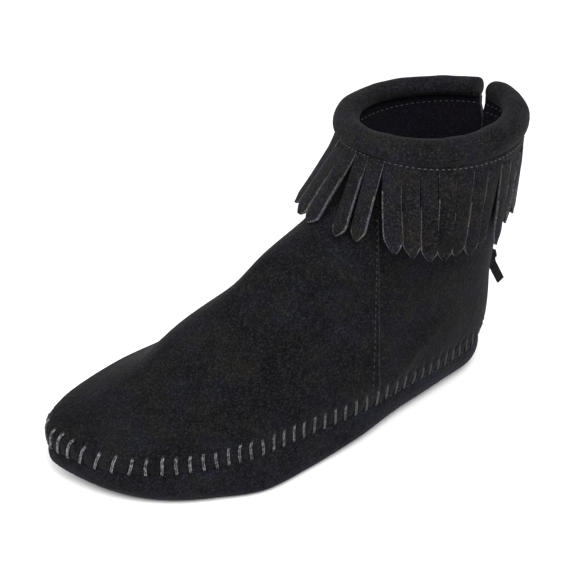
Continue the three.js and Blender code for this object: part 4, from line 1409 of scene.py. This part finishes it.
def build_side_seams():
    """Stitches up both side seams, and a painted highlight beside them: a pale ribbon along the vamp's cut
    edge where light catches it.
    """
    stitches = []
    edges = []
    for side in (1, -1):
        points, outward = side_seam_line(side, side_stitch_inset(SIDE_SEAM_HEIGHTS))
        stitches.append(dashes(points + outward * (VAMP_STEP - 0.3), outward, pitch=3.1, dash=2.0))
        # Painted highlight along the vamp's edge, just in front of its step
        points, outward = side_seam_line(side, 0.75)
        edges.append((points + outward * (VAMP_STEP - 0.12), outward))
    paths, facing = joined(stitches)
    thread = thread_piece("side_stitches", paths, facing, *SIDE_THREAD_SIZE, SEAM_THREAD)
    lines, facing = (np.array(part) for part in zip(*edges))
    return thread, thread_piece("vamp_edge_highlights", lines, facing, *VAMP_EDGE_SIZE, VAMP_EDGE_HIGHLIGHT)


def build_collar_stitches():
    """One row under the roll outside, two rows below it inside, the lower one only beside the slit."""
    angles = ring_places(220)
    paths = fringe_paths(angles, 0, length=6)
    points, outward = joined(along_fringe(path, np.array([COLLAR_STITCH_AT])) for path in paths)
    rows = [dashes(points + outward * BAND_THICKNESS, outward, pitch=2.9, dash=1.8)]
    for drop, row_angles in ((0.5, angles), (4.6, angles[angles < SECOND_ROW_TO])):
        around = around_at(row_angles)
        up = height_share(around, roll_centre(row_angles)[:, 2] - RIM_DROP - drop)
        inward = -skin_out(around, up)
        rows.append(dashes(skin(around, up) + inward * UPPER_WALL, inward, pitch=3.0, dash=1.8))
    return thread_piece("collar_stitches", *joined(rows), *FINE_THREAD_SIZE, FINE_THREAD)


# Heel tab

TAB_COLUMNS = 44
TAB_ROWS = 34


def tab_places(share):
    """Places round the heel at shares of the way across the tab, and how far up its top is there."""
    first, last = place_of_back_y([-TAB_WIDTH / 2, TAB_WIDTH / 2], TAB_TOP_HEIGHT)
    around = first + (last - first) * share
    return around, height_share(around, TAB_TOP_HEIGHT - TAB_ROUND * (2 * share - 1) ** 4)


def build_tab():
    share = np.linspace(0, 1, TAB_COLUMNS)
    around, top = tab_places(share)
    level = TAB_FOOT_SHARE + (1 - TAB_FOOT_SHARE) * np.linspace(0, 1, TAB_ROWS)
    up = top[:, None] * level
    base = skin(around[:, None], up)
    outward = skin_out(around[:, None], up)
    from_side = np.minimum(share, 1 - share)[:, None] * TAB_COLUMNS
    from_rim = np.minimum(from_side, (TAB_ROWS - 1) * (1 - level))
    outer = base + outward * (GAP + TAB_THICKNESS - 0.5 * bell(from_rim, 1.1))[..., None]
    inner = base + outward * 0.05
    grid = np.concatenate([inner, outer[:, ::-1]], axis=1)
    return new_piece("heel_patch", grid.reshape(-1, 3), tube_faces(*grid.shape[:2]), [BLACK_SUEDE])


def build_tab_stitches():
    """Stitches up one side of the tab, across under its top and down the other."""
    side = np.full(30, 0.1)
    rise = np.linspace(0.25, 0.86, 30)
    around, top = tab_places(np.concatenate([side, np.linspace(0.1, 0.9, 40), 1 - side]))
    up = top * np.concatenate([rise, np.full(40, 0.88), rise[::-1]])
    outward = skin_out(around, up)
    points = skin(around, up) + outward * (GAP + TAB_THICKNESS - 0.2)
    paths, facing = dashes(points, outward, pitch=3.0, dash=1.9)
    return thread_piece("heel_patch_stitches", paths, facing, *FINE_THREAD_SIZE, FINE_THREAD)


# Tie

LACE_STATIONS = 60
LACE_SIDES = 16
LACE_SQUARE = 0.45
CROSSING_TURN = 1.6


def knot_centre():
    around = place_of_back_y([SLIT_FOOT_Y], TIE_HEIGHT)
    back = skin(around, height_share(around, TIE_HEIGHT))[0, 0]
    return np.array([back - KNOT_STANDOFF - KNOT_SIZE[0] / 2, SLIT_FOOT_Y, TIE_HEIGHT])


def lace_ribbon(name, points, wide_start, wide_end):
    """Flat lace through points, its width turning from one direction to the other."""
    stations = np.linspace(0, 1, LACE_STATIONS)
    line = catmull(np.array(points, float), stations)
    along = unit(np.gradient(line, axis=0))
    share = smooth_share(1.6 * stations - 0.3)[:, None]
    wide = np.array(wide_start, float) * (1 - share) + np.array(wide_end, float) * share
    wide = unit(wide - along * np.sum(wide * along, axis=1, keepdims=True))
    thick = np.cross(wide, along)
    rings = ribbon_rings(
        line[None], wide[None], thick[None], LACE_WIDTH, LACE_THICKNESS, square=LACE_SQUARE, sides=LACE_SIDES,
    )
    return ribbon_piece(name, rings, LACE_LEATHER), line


def build_tie():
    """The lace's crossing inside the heel, the knot behind it and both hanging ends."""
    knot = knot_centre()
    half = TIE_HOLE_SPACING / 2
    beside = place_of_back_y([SLIT_FOOT_Y + half], TIE_HEIGHT)
    mouth = skin(beside, height_share(beside, TIE_HEIGHT))[0, 0]
    inside = mouth + UPPER_WALL + 2 * GAP + LACE_THICKNESS / 2
    before_turn = inside - CROSSING_TURN
    after_turn = half - CROSSING_TURN
    corners = [
        (mouth, -half), (before_turn, -half), (inside, -after_turn), (inside, 0),
        (inside, after_turn), (before_turn, half), (mouth, half),
    ]
    route = [(x, SLIT_FOOT_Y + y, TIE_HEIGHT) for x, y in corners]
    crossing, _ = lace_ribbon("lace_crossing", route, (0, 0, 1), (0, 0, 1))
    finish_piece(crossing, "lace", "tie_bar")
    wrap = build_knot(knot)
    for name, cad, side, end, pieces in (
        ("lace_end_outer", "tie_end_outer", 1, LACE_END_OUTER, [wrap]),
        ("lace_end_inner", "tie_end_inner", -1, LACE_END_INNER, []),
    ):
        to_knot = [
            (mouth, SLIT_FOOT_Y + side * half, TIE_HEIGHT),
            (mouth - 3.4, SLIT_FOOT_Y + side * (half - 0.4), TIE_HEIGHT),
            (knot[0] + 2.6, SLIT_FOOT_Y + side * 4.0, TIE_HEIGHT + 0.6),
            (knot[0] - 0.6, SLIT_FOOT_Y + side * 1.2, TIE_HEIGHT + 0.2),
        ]
        far = unit(np.array(end[-1], float) - np.array(end[-2], float))
        piece, line = lace_ribbon(name, to_knot + end, (0, 0, 1), (far[2], 0, -far[0]))
        finish_piece(piece, "lace", cad)
        path = place(line)


# Turns of the lace round the knot: tilt, spin and size
KNOT_TURNS = [(0.35, 0.0, 1.0), (-0.5, 1.3, 0.93), (1.2, 0.5, 0.86)]
KNOT_STATIONS = 48
KNOT_SIDES = 12
KNOT_SQUARE = 0.5
KNOT_LACE_SHARE = 0.8


def build_knot(centre):
    """Pulled-tight turns of the lace round the middle of the knot."""
    angle = np.linspace(0, 2 * math.pi, KNOT_STATIONS + 1)[:-1]
    points = []
    faces = []
    for tilt, spin, size in KNOT_TURNS:
        spun = np.array(Matrix.Rotation(spin, 3, "Y"))
        across = np.array([0, math.cos(tilt), math.sin(tilt)])
        circle = np.cos(angle)[:, None] * (1, 0, 0) + np.sin(angle)[:, None] * across
        ring = centre + circle @ spun * (KNOT_SIZE / 2 - LACE_THICKNESS / 2) * size
        axis = spun.T @ np.array([0, -math.sin(tilt), math.cos(tilt)])
        thick = unit(ring - centre)
        wide = np.repeat(axis[None], len(ring), axis=0)
        turn = ribbon_rings(
            ring[None], wide[None], thick[None], KNOT_LACE_SHARE * LACE_WIDTH, LACE_THICKNESS,
            square=KNOT_SQUARE, sides=KNOT_SIDES,
        )
        numbers = len(points) * len(ring) * KNOT_SIDES + np.arange(len(ring) * KNOT_SIDES)
        faces += grid_faces(numbers.reshape(-1, KNOT_SIDES), wrap_rows=True, wrap_columns=True)
        points.append(turn.reshape(-1, 3))
    piece = new_piece("lace_knot", np.concatenate(points), faces, [LACE_LEATHER])
    return finish_piece(piece, "lace", "tie_knot")


# Studio

# Camera at the photo's angle, with its place in millimetres of the boot
CAMERA_AT = np.array([491.37, 553.28, 443.54])
CAMERA_RIGHT = (-0.83013, 0.55756, 0)
CAMERA_UP = (-0.27175, -0.40460, 0.87318)
CAMERA_BACK = (0.48686, 0.72486, 0.48739)
CAMERA_LENS = 95.2

# The studio, in metres
FLOOR_HALF = 4.0
FLOOR_COLOR = (0.93, 0.93, 0.93, 1)
WORLD_STRENGTH = 0.85
LIGHTS_AIM = np.array([0, 0, 0.06])


def add_object(name, data, right, up, back, at):
    """An object at a place in the frame, looking away from its back."""
    made = bpy.data.objects.new(name, data)
    bpy.context.scene.collection.objects.link(made)
    made.matrix_world = Matrix([(right[k], up[k], back[k], at[k]) for k in range(3)] + [(0, 0, 0, 1)])
    return made


def add_camera():
    data = bpy.data.cameras.new("camera")
    data.lens = CAMERA_LENS
    data.clip_start = 0.01
    at = place(CAMERA_AT)[0]
    camera = add_object("camera", data, CAMERA_RIGHT, CAMERA_UP, CAMERA_BACK, at)
    bpy.context.scene.camera = camera


def add_light(name, at, size, power):
    data = bpy.data.lights.new(name, "AREA")
    data.shape = "DISK"
    data.size = size
    data.energy = power
    back = unit(np.array(at) - LIGHTS_AIM)
    right = unit(np.cross((0, 0, 1), back))
    add_object(name, data, right, np.cross(back, right), back, at)


def add_studio():
    """A plain pale floor, an even bright surrounding and two large soft lights."""
    mesh = bpy.data.meshes.new("floor")
    corners = [(x * FLOOR_HALF, y * FLOOR_HALF, 0) for x, y in ((-1, -1), (1, -1), (1, 1), (-1, 1))]
    mesh.from_pydata(corners, [], [(0, 1, 2, 3)])
    material, _, shader, _ = base_material("floor", roughness=0.9, specular=0.1)
    shader.inputs["Base Color"].default_value = FLOOR_COLOR
    mesh.materials.append(material)
    floor = bpy.data.objects.new("floor", mesh)
    bpy.context.scene.collection.objects.link(floor)
    world = bpy.data.worlds.new("studio")
    world.use_nodes = True
    background = world.node_tree.nodes["Background"]
    background.inputs["Color"].default_value = (1, 1, 1, 1)
    background.inputs["Strength"].default_value = WORLD_STRENGTH
    bpy.context.scene.world = world
    add_light("key", (0.15, 0.75, 1.05), size=0.9, power=16)
    add_light("side", (0.95, -0.15, 0.75), size=0.8, power=7)
    bpy.context.scene.view_settings.view_transform = "Standard"


# Building

add_camera()
add_studio()
build_tie()
finish_piece(build_upper(), "upper_suede", "upper")
finish_piece(build_sole(), "sole_suede", "sole")
finish_piece(build_insole(), "insole_lining", "insole")
roll = finish_piece(build_roll(), "upper_suede", "collar")
finish_piece(build_strips(), "fringe_suede", "fringe")
finish_piece(build_band(), "fringe_suede")
for stitching in build_whipstitches():
    finish_piece(stitching, "lace")
for stitching in build_side_seams():
    finish_piece(stitching, "upper_suede")
finish_piece(build_collar_stitches(), "upper_suede")
finish_piece(build_tab(), "upper_suede", "heel_tab")
finish_piece(build_tab_stitches(), "upper_suede")
